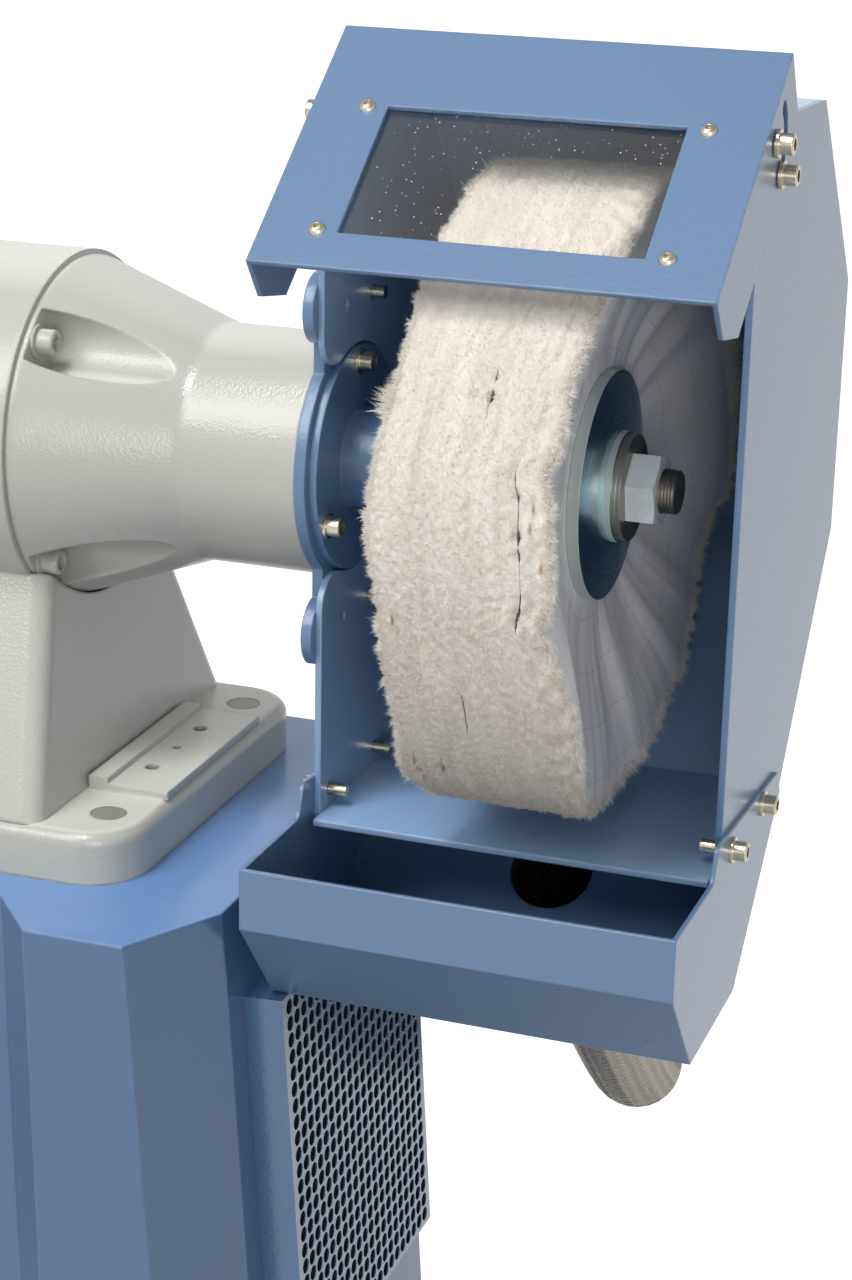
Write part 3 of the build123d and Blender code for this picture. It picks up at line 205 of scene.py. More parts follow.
def add(tree, kind, inputs, output=None, **settings):
    """Adds a node, sets its settings and gives each input a value or a link.

    Returns the named output, or else the first one in use.
    """
    made = tree.nodes.new(kind)
    for name, value in settings.items():
        setattr(made, name, value)
    for name, value in inputs.items():
        if isinstance(value, bpy.types.NodeSocket):
            tree.links.new(value, made.inputs[name])
        else:
            made.inputs[name].default_value = value
    if output:
        return made.outputs[output]
    return next((socket for socket in made.outputs if socket.enabled), None)


def blank_material(name):
    """A node material. Returns it, its tree, and the place on the object, which is all the tree holds."""
    material = bpy.data.materials.new(name)
    material.use_nodes = True
    tree = material.node_tree
    tree.nodes.clear()
    return material, tree, add(tree, "ShaderNodeTexCoord", {}, "Object")


def shade(colour, factor=1.0):
    """The colour made darker or lighter, for a colour socket."""
    return (*(min(1.0, c * factor) for c in colour), 1.0)


def grained(tree, height, relief, edge_r):
    """A normal that follows a grain of some relief and rounds the edges."""
    rounded = add(tree, "ShaderNodeBevel", {"Radius": edge_r}, samples=4)
    return add(tree, "ShaderNodeBump", {"Height": height, "Distance": relief, "Normal": rounded})


def off_axis(tree, place):
    """The place as seen from the spindle's axis, square to it."""
    axis = (0.0, 0.0, spindle_height)
    above = add(tree, "ShaderNodeVectorMath", {0: place, 1: axis}, operation="SUBTRACT")
    return add(tree, "ShaderNodeVectorMath", {0: above, 1: (0.0, 1.0, 1.0)}, operation="MULTIPLY")


def dress(material, *names):
    """Gives CAD nodes a finish in place of the plain one that they came with."""
    for name in names:
        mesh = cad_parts[name].data
        mesh.materials.clear()
        mesh.materials.append(material)


def both(*names):
    """The right-hand and left-hand node of each name."""
    return [name + end for name in names for end in ("_right", "_left")]


def mesh_of(name, bm):
    """Makes a bmesh a mesh."""
    mesh = bpy.data.meshes.new(name)
    bm.to_mesh(mesh)
    bm.free()
    return mesh


def finish_piece(name, mesh, materials, body):
    """Makes a mesh a smooth piece that rides on a body."""
    mesh.polygons.foreach_set("use_smooth", [True] * len(mesh.polygons))
    for material in materials:
        mesh.materials.append(material)
    piece = bpy.data.objects.new(name, mesh)
    bpy.context.scene.collection.objects.link(piece)
    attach(piece, body)
    return piece


def coat_of_paint(name, colour, grain, relief, roughness, edge_r, edge_light, lacquer=0.0, dust=1.0):
    """Sprayed paint: a grain in its shine, a glossy skin, corners painted lighter by wear and a painted
    highlight, and level faces painted lighter by painted light from above and dust.
    """
    material, tree, place = blank_material(name)
    peel = add(tree, "ShaderNodeTexVoronoi", {"Vector": place, "Scale": 1 / grain})
    patch = add(tree, "ShaderNodeTexNoise", {"Vector": place, "Scale": 1 / (120 * mm), "Detail": 3.0})
    tone = add(tree, "ShaderNodeMix", {
        0: patch, 6: shade(colour, 0.93), 7: shade(colour, 1.06)}, data_type="RGBA")
    rounded = add(tree, "ShaderNodeBevel", {"Radius": edge_r}, samples=4)
    flat = add(tree, "ShaderNodeNewGeometry", {}, "Normal")
    turned = add(tree, "ShaderNodeVectorMath", {0: rounded, 1: flat}, operation="DOT_PRODUCT")
    # Edges are painted lighter by edge_light: partly wear of the paint, partly a painted highlight where an
    # edge catches the light.
    worn = add(tree, "ShaderNodeMapRange", {
        "Value": turned, "From Min": 0.985, "From Max": 0.75, "To Max": 0.75})
    # Faces that lie level are painted lighter by the dust factor: painted light from above, with real polish
    # dust only on the hood's floor.
    upward = add(tree, "ShaderNodeSeparateXYZ", {"Vector": flat}, "Z")
    level = add(tree, "ShaderNodeMapRange", {"Value": upward, "From Min": 0.85, "From Max": 0.99})
    tone_with_painted_top_light = add(tree, "ShaderNodeMix", {0: level, 6: tone, 7: shade(colour, dust)}, data_type="RGBA")
    colours = add(tree, "ShaderNodeMix", {
        0: worn, 6: tone_with_painted_top_light, 7: shade(colour, edge_light)}, data_type="RGBA")
    shine = add(tree, "ShaderNodeMapRange", {
        "Value": peel, "From Min": 0.1, "From Max": 0.7,
        "To Min": roughness - 0.02, "To Max": roughness + 0.02})
    bump = add(tree, "ShaderNodeBump", {"Height": peel, "Distance": relief, "Normal": rounded})
    shader = add(tree, "ShaderNodeBsdfPrincipled", {
        "Base Color": colours, "Roughness": shine, "IOR": 1.5, "Normal": bump,
        "Coat Weight": lacquer, "Coat Roughness": 0.7 * roughness, "Coat Normal": bump})
    add(tree, "ShaderNodeOutputMaterial", {"Surface": shader})
    return material


def plated_steel(name, colour, roughness, grain, relief, bare=1.0):
    """Plated or bare metal: a fine grain breaks up its reflections, and a hazy film leaves it less bare."""
    material, tree, place = blank_material(name)
    fine = add(tree, "ShaderNodeTexNoise", {"Vector": place, "Scale": 1 / grain, "Detail": 3.0})
    cloud = add(tree, "ShaderNodeTexNoise", {"Vector": place, "Scale": 1 / (9 * mm), "Detail": 2.0})
    tone = add(tree, "ShaderNodeMix", {
        0: cloud, 6: shade(colour, 0.78), 7: shade(colour, 1.1)}, data_type="RGBA")
    shine = add(tree, "ShaderNodeMapRange", {
        "Value": cloud, "From Min": 0.3, "From Max": 0.7,
        "To Min": roughness - 0.07, "To Max": roughness + 0.07})
    shader = add(tree, "ShaderNodeBsdfPrincipled", {
        "Base Color": tone, "Metallic": bare, "Roughness": shine,
        "Normal": grained(tree, fine, relief, 0.4 * mm)})
    add(tree, "ShaderNodeOutputMaterial", {"Surface": shader})
    return material


def turned_steel(name, colour, rim_colour, roughness, rim_roughness, groove, relief, stretch, rim_bare=1.0):
    """Steel turned about the spindle's axis: rings of tool marks draw the light out into a fan, and its rim
    and face can be coloured apart as painted reflection.
    """
    material, tree, place = blank_material(name)
    reach = add(tree, "ShaderNodeVectorMath", {0: off_axis(tree, place)}, operation="LENGTH")
    along = add(tree, "ShaderNodeSeparateXYZ", {"Vector": place}, "X")
    track = add(tree, "ShaderNodeMath", {0: reach, 1: along}, operation="ADD")
    rings = add(tree, "ShaderNodeTexNoise", {
        "W": track, "Scale": 1 / groove, "Detail": 2.0}, noise_dimensions="1D")
    cloud = add(tree, "ShaderNodeTexNoise", {"Vector": place, "Scale": 1 / (25 * mm), "Detail": 3.0})
    front = add(tree, "ShaderNodeNewGeometry", {}, "Normal")
    lengthwise = add(tree, "ShaderNodeSeparateXYZ", {"Vector": front}, "X")
    face = add(tree, "ShaderNodeMath", {0: lengthwise}, operation="ABSOLUTE")
    # Faces square to the axis take one colour and the rim another, which paints in reflections that differ
    # with the way each faces.
    metal = add(tree, "ShaderNodeMix", {
        0: face, 6: shade(rim_colour), 7: shade(colour)}, data_type="RGBA")
    tone = add(tree, "ShaderNodeMix", {0: cloud, 6: shade(rim_colour, 0.7), 7: metal}, data_type="RGBA")
    base = add(tree, "ShaderNodeMapRange", {"Value": face, "To Min": rim_roughness, "To Max": roughness})
    shine = add(tree, "ShaderNodeMath", {0: rings, 1: 0.14, 2: base}, operation="MULTIPLY_ADD")
    bare = add(tree, "ShaderNodeMapRange", {"Value": face, "To Min": rim_bare})
    tangent = add(tree, "ShaderNodeTangent", {}, direction_type="RADIAL", axis="X")
    shader = add(tree, "ShaderNodeBsdfPrincipled", {
        "Base Color": tone, "Metallic": bare, "Roughness": shine, "Anisotropic": stretch,
        "Normal": grained(tree, rings, relief, 0.5 * mm), "Tangent": tangent})
    add(tree, "ShaderNodeOutputMaterial", {"Surface": shader})
    return material


def moulded_plastic(name, colour, roughness, grain, relief):
    """Injection-moulded plastic: even colour with the fine eroded grain of its mould."""
    material, tree, place = blank_material(name)
    fine = add(tree, "ShaderNodeTexNoise", {"Vector": place, "Scale": 1 / grain, "Detail": 2.0})
    tone = add(tree, "ShaderNodeMix", {
        0: fine, 6: shade(colour, 0.92), 7: shade(colour, 1.08)}, data_type="RGBA")
    shader = add(tree, "ShaderNodeBsdfPrincipled", {
        "Base Color": tone, "Roughness": roughness, "IOR": 1.53,
        "Normal": grained(tree, fine, relief, 0.6 * mm)})
    add(tree, "ShaderNodeOutputMaterial", {"Surface": shader})
    return material


def clear_polycarbonate():
    """Clear sheet, a little dimmed by use, with specks of dust. Lamps shine through it."""
    material, tree, place = blank_material("clear_polycarbonate")
    cells = add(tree, "ShaderNodeTexVoronoi", {"Vector": place, "Scale": 1 / (2.2 * mm)}).node.outputs
    size = add(tree, "ShaderNodeSeparateColor", {"Color": cells["Color"]}, "Red")
    limit = add(tree, "ShaderNodeMapRange", {"Value": size, "From Min": 0.45, "To Max": 0.14})
    speck = add(tree, "ShaderNodeMath", {0: cells["Distance"], 1: limit}, operation="LESS_THAN")
    glass = add(tree, "ShaderNodeBsdfPrincipled", {
        "Base Color": (0.78, 0.77, 0.75, 1.0), "Roughness": 0.03, "IOR": 1.58, "Transmission Weight": 1.0})
    dust = add(tree, "ShaderNodeBsdfPrincipled", {
        "Base Color": shade(linear("#c9ced2")), "Roughness": 0.9})
    dusty = add(tree, "ShaderNodeMixShader", {0: speck, 1: glass, 2: dust})
    shadow = add(tree, "ShaderNodeLightPath", {}, "Is Shadow Ray")
    through = add(tree, "ShaderNodeBsdfTransparent", {"Color": (0.93, 0.94, 0.95, 1.0)})
    shader = add(tree, "ShaderNodeMixShader", {0: shadow, 1: dusty, 2: through})
    add(tree, "ShaderNodeOutputMaterial", {"Surface": shader})
    return material


def brushed_cotton(name, colour, darker_and_shade_colour, thin):
    """The buff's worn rim: cloth edges teased into a soft nap, with faint plies, brown polish marks and
    painted shade in the hollows between tufts.
    """
    material, tree, place = blank_material(name)
    # The plies follow the cloth's own width and change slowly round the wheel.
    ply = add(tree, "ShaderNodeAttribute", {}, "Fac", attribute_name="ply")
    width = add(tree, "ShaderNodeCombineXYZ", {"X": ply})
    slow = add(tree, "ShaderNodeMapping", {"Vector": place, "Scale": (0.0, 0.12, 0.12)})
    lay = add(tree, "ShaderNodeVectorMath", {0: width, 1: slow}, operation="ADD")
    bands = add(tree, "ShaderNodeTexNoise", {"Vector": lay, "Scale": 1 / (7 * mm), "Detail": 2.0})
    lines = add(tree, "ShaderNodeTexNoise", {"Vector": lay, "Scale": 1 / (2.6 * mm), "Detail": 3.0})
    tuft = add(tree, "ShaderNodeTexNoise", {
        "Vector": place, "Scale": 1 / (1.6 * mm), "Detail": 3.0, "Roughness": 0.65})
    tone = add(tree, "ShaderNodeMix", {
        0: bands, 6: shade(colour, 0.74), 7: shade(colour, 1.08)}, data_type="RGBA")
    furrow = add(tree, "ShaderNodeMapRange", {
        "Value": lines, "From Min": 0.28, "From Max": 0.42, "To Min": 0.6, "To Max": 0.0})
    # Where the tufts sink, the cloth is painted darker: painted shade in the hollows.
    hollow_shade = add(tree, "ShaderNodeMapRange", {
        "Value": tuft, "From Min": 0.32, "From Max": 0.6, "To Min": 0.3, "To Max": 0.0})
    strand = add(tree, "ShaderNodeAttribute", {}, "Fac", attribute_name="shade")
    dim = add(tree, "ShaderNodeMath", {0: strand, 1: 0.3, 2: hollow_shade}, operation="MULTIPLY_ADD")
    darker_and_shade = add(tree, "ShaderNodeMath", {0: dim, 1: furrow}, operation="MAXIMUM")
    grain = add(tree, "ShaderNodeMix", {0: darker_and_shade, 6: tone, 7: shade(darker_and_shade_colour)}, data_type="RGBA")
    mark = add(tree, "ShaderNodeAttribute", {}, "Fac", attribute_name="mark")
    colours = add(tree, "ShaderNodeMix", {
        0: mark, 6: grain, 7: shade(linear("#93692c"))}, data_type="RGBA")
    bump = add(tree, "ShaderNodeBump", {"Height": tuft, "Distance": 0.6 * mm, "Strength": 0.7})
    cloth = add(tree, "ShaderNodeBsdfPrincipled", {
        "Base Color": colours, "Roughness": 0.95, "IOR": 1.45, "Specular IOR Level": 0.2,
        "Sheen Weight": 0.3, "Sheen Roughness": 0.5, "Sheen Tint": shade(linear("#fff6e6")),
        "Normal": bump})
    # A thin strand glows with the light behind it.
    glow = add(tree, "ShaderNodeBsdfTranslucent", {"Color": colours})
    shader = add(tree, "ShaderNodeMixShader", {0: thin, 1: cloth, 2: glow})
    add(tree, "ShaderNodeOutputMaterial", {"Surface": shader})
    return material


def stitched_sheeting(colour, spacing):
    """Plain-woven cotton sheeting, puckered by lock-stitched circles, in grey tones darker than the rim's
    cloth as painted shade.
    """
    material, tree, place = blank_material("stitched_cotton_sheeting")
    flat = off_axis(tree, place)
    parts = add(tree, "ShaderNodeSeparateXYZ", {"Vector": flat}).node.outputs
    reach = add(tree, "ShaderNodeVectorMath", {0: flat}, operation="LENGTH")
    angle = add(tree, "ShaderNodeMath", {0: parts["Y"], 1: parts["Z"]}, operation="ARCTAN2")
    inset = add(tree, "ShaderNodeMath", {0: reach, 1: first_stitches_r}, operation="SUBTRACT")
    ring = add(tree, "ShaderNodeMath", {0: inset, 1: spacing / 2}, operation="PINGPONG")
    seam = add(tree, "ShaderNodeMapRange", {
        "Value": ring, "From Min": 0.3 * mm, "From Max": 0.8 * mm, "To Min": 1.0, "To Max": 0.0})
    # The stitches are about 4 mm long at the middle of the face.
    step = add(tree, "ShaderNodeMath", {
        0: angle, 1: stitches_per_circle / math.tau}, operation="MULTIPLY")
    dash = add(tree, "ShaderNodeMath", {0: step}, operation="FRACT")
    gap = add(tree, "ShaderNodeMath", {0: dash, 1: 0.6}, operation="LESS_THAN")
    stitch = add(tree, "ShaderNodeMath", {0: seam, 1: gap}, operation="MULTIPLY")
    # Puckers run outwards, about 9 mm apart at the middle of the face, and change slowly along their length.
    way = add(tree, "ShaderNodeVectorMath", {0: flat}, operation="NORMALIZE")
    fan = add(tree, "ShaderNodeVectorMath", {0: way, "Scale": 0.1}, operation="SCALE")
    slow = add(tree, "ShaderNodeVectorMath", {0: place, "Scale": 0.07}, operation="SCALE")
    along = add(tree, "ShaderNodeVectorMath", {0: fan, 1: slow}, operation="ADD")
    pucker = add(tree, "ShaderNodeTexNoise", {"Vector": along, "Scale": 1 / (9 * mm), "Detail": 1.0})
    # A wave texture repeats 20 / tau times for each unit of its scale.
    weaving = {"Vector": place, "Scale": math.tau / (20 * thread_spacing), "Distortion": 0.4}
    warp = add(tree, "ShaderNodeTexWave", weaving, "Fac", bands_direction="Y")
    weft = add(tree, "ShaderNodeTexWave", weaving, "Fac", bands_direction="Z")
    weave = add(tree, "ShaderNodeMath", {0: warp, 1: weft}, operation="MULTIPLY")
    faint = add(tree, "ShaderNodeMath", {0: weave, 1: 0.3}, operation="MULTIPLY")
    cloud = add(tree, "ShaderNodeTexNoise", {"Vector": place, "Scale": 1 / (35 * mm), "Detail": 4.0})
    # The grey tones are darker than the cotton as painted shade of the hood over the face.
    grey = shade(linear("#cfced5"))
    pale = shade(linear("#e4e2e4"))
    tone = add(tree, "ShaderNodeMix", {0: cloud, 6: grey, 7: pale}, data_type="RGBA")
    thread = add(tree, "ShaderNodeMix", {0: faint, 6: tone, 7: shade(colour)}, data_type="RGBA")
    colours = add(tree, "ShaderNodeMix", {
        0: stitch, 6: thread, 7: shade(linear("#cac8cc"))}, data_type="RGBA")
    dented = add(tree, "ShaderNodeMath", {0: weave, 1: seam}, operation="SUBTRACT")
    fine = add(tree, "ShaderNodeBump", {"Height": dented, "Distance": 0.2 * mm, "Strength": 0.4})
    bump = add(tree, "ShaderNodeBump", {
        "Height": pucker, "Distance": 3.0 * mm, "Strength": 0.5, "Normal": fine})
    shader = add(tree, "ShaderNodeBsdfPrincipled", {
        "Base Color": colours, "Roughness": 0.9, "IOR": 1.45, "Specular IOR Level": 0.25,
        "Sheen Weight": 0.15, "Sheen Roughness": 0.4, "Normal": bump})
    add(tree, "ShaderNodeOutputMaterial", {"Surface": shader})
    return material


def spiral_aluminium():
    """Thin bare aluminium strip, wound and pressed: warm silver on the crests, with painted shade in the
    seams.
    """
    material, tree, place = blank_material("spiral_wound_aluminium")
    crease = add(tree, "ShaderNodeTexNoise", {"Vector": place, "Scale": 1 / (2.5 * mm), "Detail": 3.0})
    fold = add(tree, "ShaderNodeAttribute", {}, "Fac", attribute_name="fold")
    # Deep in the folds the strip is painted dark: painted shade in the seams.
    silver = shade(linear("#b3ada3"))
    seam = shade(linear("#403c36"))
    tone = add(tree, "ShaderNodeMix", {0: fold, 6: silver, 7: seam}, data_type="RGBA")
    shine = add(tree, "ShaderNodeMapRange", {
        "Value": crease, "From Min": 0.3, "From Max": 0.7, "To Min": 0.2, "To Max": 0.32})
    bump = add(tree, "ShaderNodeBump", {"Height": crease, "Distance": 0.02 * mm})
    shader = add(tree, "ShaderNodeBsdfPrincipled", {
        "Base Color": tone, "Metallic": 1.0, "Roughness": shine, "Normal": bump})
    add(tree, "ShaderNodeOutputMaterial", {"Surface": shader})
    return material


def filter_fibre():
    """Black needled fibre: matt, with a tangle of strands."""
    material, tree, place = blank_material("black_needled_fibre")
    strand = add(tree, "ShaderNodeTexNoise", {
        "Vector": place, "Scale": 1 / (2 * mm), "Detail": 5.0, "Distortion": 1.5})
    black = shade(linear("#020203"))
    worn = shade(linear("#0b0c0e"))
    tone = add(tree, "ShaderNodeMix", {0: strand, 6: black, 7: worn}, data_type="RGBA")
    bump = add(tree, "ShaderNodeBump", {"Height": strand, "Distance": 1.5 * mm, "Strength": 0.8})
    shader = add(tree, "ShaderNodeBsdfPrincipled", {
        "Base Color": tone, "Roughness": 1.0, "IOR": 1.5, "Specular IOR Level": 0.2, "Normal": bump})
    add(tree, "ShaderNodeOutputMaterial", {"Surface": shader})
    return material


def photo_camera(scene, view):
    """The camera that stands where the photograph's stood."""
    ahead = Vector((
        -math.sin(view.azimuth) * math.cos(view.pitch),
        math.cos(view.azimuth) * math.cos(view.pitch),
        -math.sin(view.pitch)))
    level = Vector((math.cos(view.azimuth), math.sin(view.azimuth), 0.0))
    above = level.cross(ahead)
    right = level * math.cos(view.roll) + above * math.sin(view.roll)
    up = above * math.cos(view.roll) - level * math.sin(view.roll)
    data = bpy.data.cameras.new("photo_camera")
    data.sensor_width = sensor_size
    data.lens = photo_focal * sensor_size / max(photo_width, photo_height)
    data.clip_start = 0.05
    data.clip_end = 60.0
    camera = bpy.data.objects.new("photo_camera", data)
    camera.matrix_world = Matrix((
        (right.x, up.x, -ahead.x, camera_place[0]),
        (right.y, up.y, -ahead.y, camera_place[1]),
        (right.z, up.z, -ahead.z, camera_place[2]),
        (0.0, 0.0, 0.0, 1.0)))
    scene.collection.objects.link(camera)
    scene.camera = camera


def softbox(name, place, target, width, power):
    """A square lamp that faces a point."""
    lamp = bpy.data.lights.new(name, "AREA")
    lamp.shape = "SQUARE"
    lamp.size = width
    lamp.energy = power
    holder = bpy.data.objects.new(name, lamp)
    holder.location = place
    holder.rotation_mode = "QUATERNION"
    holder.rotation_quaternion = (Vector(target) - Vector(place)).to_track_quat("-Z", "Y")
    bpy.context.scene.collection.objects.link(holder)


def studio_walls(sky_level):
    """A world that the camera sees as white and that lights the machine from all round."""
    world = bpy.data.worlds.new("studio")
    world.use_nodes = True
    tree = world.node_tree
    tree.nodes.clear()
    path = add(tree, "ShaderNodeLightPath", {}).node.outputs
    seen = add(tree, "ShaderNodeMath", {
        0: path["Is Camera Ray"], 1: path["Is Transmission Ray"]}, operation="MAXIMUM")
    # Shiny faces mirror white walls all round and a dimmer ceiling.
    way = add(tree, "ShaderNodeTexCoord", {}, "Generated")
    aim = add(tree, "ShaderNodeSeparateXYZ", {"Vector": way}).node.outputs
    mirrored = add(tree, "ShaderNodeMapRange", {
        "Value": aim["Z"], "From Min": 0.15, "From Max": 0.7, "To Min": 0.9, "To Max": 0.45})
    # The wall behind the machine is the brightest, because no lamp stands there.
    lit = add(tree, "ShaderNodeMapRange", {
        "Value": aim["Y"], "To Min": sky_level, "To Max": 2.4 * sky_level})
    unseen = add(tree, "ShaderNodeMix", {0: path["Is Glossy Ray"], 2: lit, 3: mirrored})
    strength = add(tree, "ShaderNodeMix", {0: seen, 2: unseen, 3: 1.0})
    sky = add(tree, "ShaderNodeBackground", {"Color": (1.0, 1.0, 1.0, 1.0), "Strength": strength})
    add(tree, "ShaderNodeOutputWorld", {"Surface": sky})
    return world


def studio_floor(scene):
    """A floor that turns to white away from the machine, whose shadow stays round its base."""
    bm = bmesh.new()
    bmesh.ops.create_grid(bm, x_segments=2, y_segments=2, size=16.0)
    mesh = mesh_of("floor", bm)
    floor = bpy.data.objects.new("floor", mesh)
    scene.collection.objects.link(floor)
    material, tree, spot = blank_material("pale_studio_floor")
    path = add(tree, "ShaderNodeLightPath", {}).node.outputs
    mirrored = add(tree, "ShaderNodeMath", {0: path["Is Glossy Ray"], 1: 0.7}, operation="MULTIPLY")
    seen = add(tree, "ShaderNodeMath", {0: path["Is Camera Ray"], 1: mirrored}, operation="MAXIMUM")
    shown = add(tree, "ShaderNodeMath", {0: seen, 1: path["Is Transmission Ray"]}, operation="MAXIMUM")
    away = add(tree, "ShaderNodeVectorMath", {0: spot}, operation="LENGTH")
    pale = add(tree, "ShaderNodeMapRange", {
        "Value": away, "From Min": 0.5, "From Max": 1.3, "To Min": 0.66})
    glow = add(tree, "ShaderNodeMath", {0: shown, 1: pale}, operation="MULTIPLY")
    cast = add(tree, "ShaderNodeBsdfDiffuse", {"Color": (0.36, 0.36, 0.36, 1.0)})
    lit = add(tree, "ShaderNodeEmission", {"Color": (1.0, 1.0, 1.0, 1.0), "Strength": glow})
    shader = add(tree, "ShaderNodeAddShader", {0: cast, 1: lit})
    add(tree, "ShaderNodeOutputMaterial", {"Surface": shader})
    mesh.materials.append(material)


class POLISHER_OT_stage(bpy.types.Operator):
    """Sets up the camera, the studio light and the floor."""

    bl_idname = "polisher.stage"
    bl_label = "Stage"

    def execute(self, context):
        scene = context.scene
        view = scene.polisher_view
        photo_camera(scene, view)
        scene.view_settings.view_transform = "Standard"
        softbox("key_softbox", (-0.95, -2.05, 2.95), (0.25, 0.0, 0.95), 1.4, view.key_power)
        softbox("fill_softbox", (1.6, -2.8, 1.35), (0.25, 0.0, 0.95), 1.2, 0.67 * view.key_power)
        softbox("top_softbox", (-0.15, -1.0, 3.3), (0.2, 0.0, 0.95), 0.7, 0.8 * view.key_power)
        scene.world = studio_walls(view.sky_level)
        studio_floor(scene)
        return {"FINISHED"}


def spline_points(name, route):
    """Points along the smooth curve that has the route as its control points."""
    curve = bpy.data.curves.new(name, "CURVE")
    curve.dimensions = "3D"
    curve.resolution_u = 40
    spline = curve.splines.new("NURBS")
    spline.points.add(len(route) - 1)
    for point, place in zip(spline.points, route):
        point.co = (*place, 1.0)
    spline.order_u = 3
    spline.use_endpoint_u = True
    holder = bpy.data.objects.new(name, curve)
    bpy.context.scene.collection.objects.link(holder)
    bpy.context.view_layer.update()
    line = bpy.data.meshes.new_from_object(holder)
    points = [vertex.co.copy() for vertex in line.vertices]
    bpy.data.objects.remove(holder)
    bpy.data.curves.remove(curve)
    bpy.data.meshes.remove(line)
    return points


def stations_along(points):
    """Distance of each point from the first along the line."""
    stations = [0.0]
    for first, second in zip(points, points[1:]):
        stations.append(stations[-1] + (second - first).length)
    return stations


def duct_profile(phase):
    """How far the strip's surface lies under its crest: three pressed waves, then the folded seam."""
    turn = phase % 1.0
    wave = wave_depth / 2 * (1 - math.cos(3 * math.tau * turn))
    seam = seam_depth * max(0.0, 1 - abs(turn - 0.5) / 0.1)
    return wave + seam


def spiral_duct(name, route, sides):
    """A tube of wound strip that follows the route's smooth curve. Returns it and the curve's points."""
    points = spline_points(name, route)
    stations = stations_along(points)
    rings = duct_turns * rings_per_turn
    bm = bmesh.new()
    folds = bm.verts.layers.float.new("fold")
    bmesh.ops.create_grid(bm, x_segments=rings, y_segments=sides, size=0.5)
    frames = []
    across = Vector((1.0, 0.0, 0.0))
    index = 0
    for ring in range(rings + 1):
        station = stations[-1] * ring / rings
        while index < len(stations) - 2 and stations[index + 1] < station:
            index += 1
        share = (station - stations[index]) / (stations[index + 1] - stations[index])
        centre = points[index].lerp(points[index + 1], share)
        before = points[max(index - 1, 0)]
        after = points[min(index + 2, len(points) - 1)]
        tangent = (after - before).normalized()
        across = (across - tangent * across.dot(tangent)).normalized()
        frames.append((centre, across.copy(), tangent.cross(across)))
    for vertex in bm.verts:
        ring = round((vertex.co.x + 0.5) * rings)
        turn = (vertex.co.y + 0.5) % 1.0
        centre, side, other = frames[ring]
        under = duct_profile(ring / rings * duct_turns + turn)
        vertex[folds] = under / (wave_depth + seam_depth)
        angle = math.tau * turn
        vertex.co = centre + (side * math.cos(angle) + other * math.sin(angle)) * (duct_r - under)
    bmesh.ops.remove_doubles(bm, verts=bm.verts, dist=0.01 * mm)
    bmesh.ops.recalc_face_normals(bm, faces=bm.faces)
    return bm, points


class POLISHER_OT_ducts(bpy.types.Operator):
    """Winds the two aluminium ducts from the trays to the pedestal."""

    bl_idname = "polisher.ducts"
    bl_label = "Ducts"

    def execute(self, context):
        sizes = context.scene.polisher_sizes
        metal = spiral_aluminium()
        for end, sign in (("right", 1), ("left", -1)):
            route = [(sign * x, y, z) for x, y, z in duct_route]
            bm, points = spiral_duct("duct_line_" + end, route, sizes.duct_sides)
            name = "spiral_duct_" + end
            duct = finish_piece(name, mesh_of(name, bm), [metal], "frame")
            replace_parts(duct, "duct_" + end)
        return {"FINISHED"}


class POLISHER_OT_motor(bpy.types.Operator):
    """Finishes the motor's castings and the works inside them."""

    bl_idname = "polisher.motor"
    bl_label = "Motor"

    def execute(self, context):
        colours = context.scene.polisher_colours
        sizes = context.scene.polisher_sizes
        # Structured enamel on cast iron: light warm grey, pebbled so that a highlight breaks into sparks.
        # Its level tops, such as the foot's, are painted lighter by dust=1.45 as painted light from above.
        enamel = coat_of_paint(
            "structured_grey_enamel", colours.motor_grey, grain=sizes.casting_grain, relief=0.09 * mm,
            roughness=0.24, edge_r=2.5 * mm, edge_light=1.06, lacquer=0.2, dust=1.45)
        dress(enamel, "motor_housing", "bell_screws", *both("end_bell"))
        # Mild steel ground flush: grey and hazy, with a fine grain.
        ground = plated_steel(
            "ground_mild_steel", linear("#a3a39c"), roughness=0.42, grain=0.8 * mm, relief=0.03 * mm,
            bare=0.4)
        dress(ground, "foot_bolts")
        # Stacked electrical steel, varnished copper, a turned rotor and ground bearings, all closed in.
        stack = plated_steel(
            "stacked_electrical_steel", linear("#6e7176"), roughness=0.5, grain=0.7 * mm, relief=0.05 * mm)
        dress(stack, "stator_core")
        copper = plated_steel(
            "varnished_copper", linear("#b4673d"), roughness=0.35, grain=1.2 * mm, relief=0.2 * mm)
        dress(copper, "stator_windings")
        iron = turned_steel(
            "turned_rotor_iron", linear("#74767a"), linear("#74767a"), roughness=0.4, rim_roughness=0.4,
            groove=0.6 * mm, relief=0.03 * mm, stretch=0.4)
        dress(iron, "rotor")
        bright = turned_steel(
            "ground_bearing_steel", linear("#c9cacc"), linear("#c9cacc"), roughness=0.2, rim_roughness=0.2,
            groove=0.4 * mm, relief=0.01 * mm, stretch=0.3)
        dress(bright, "bearings")
        return {"FINISHED"}


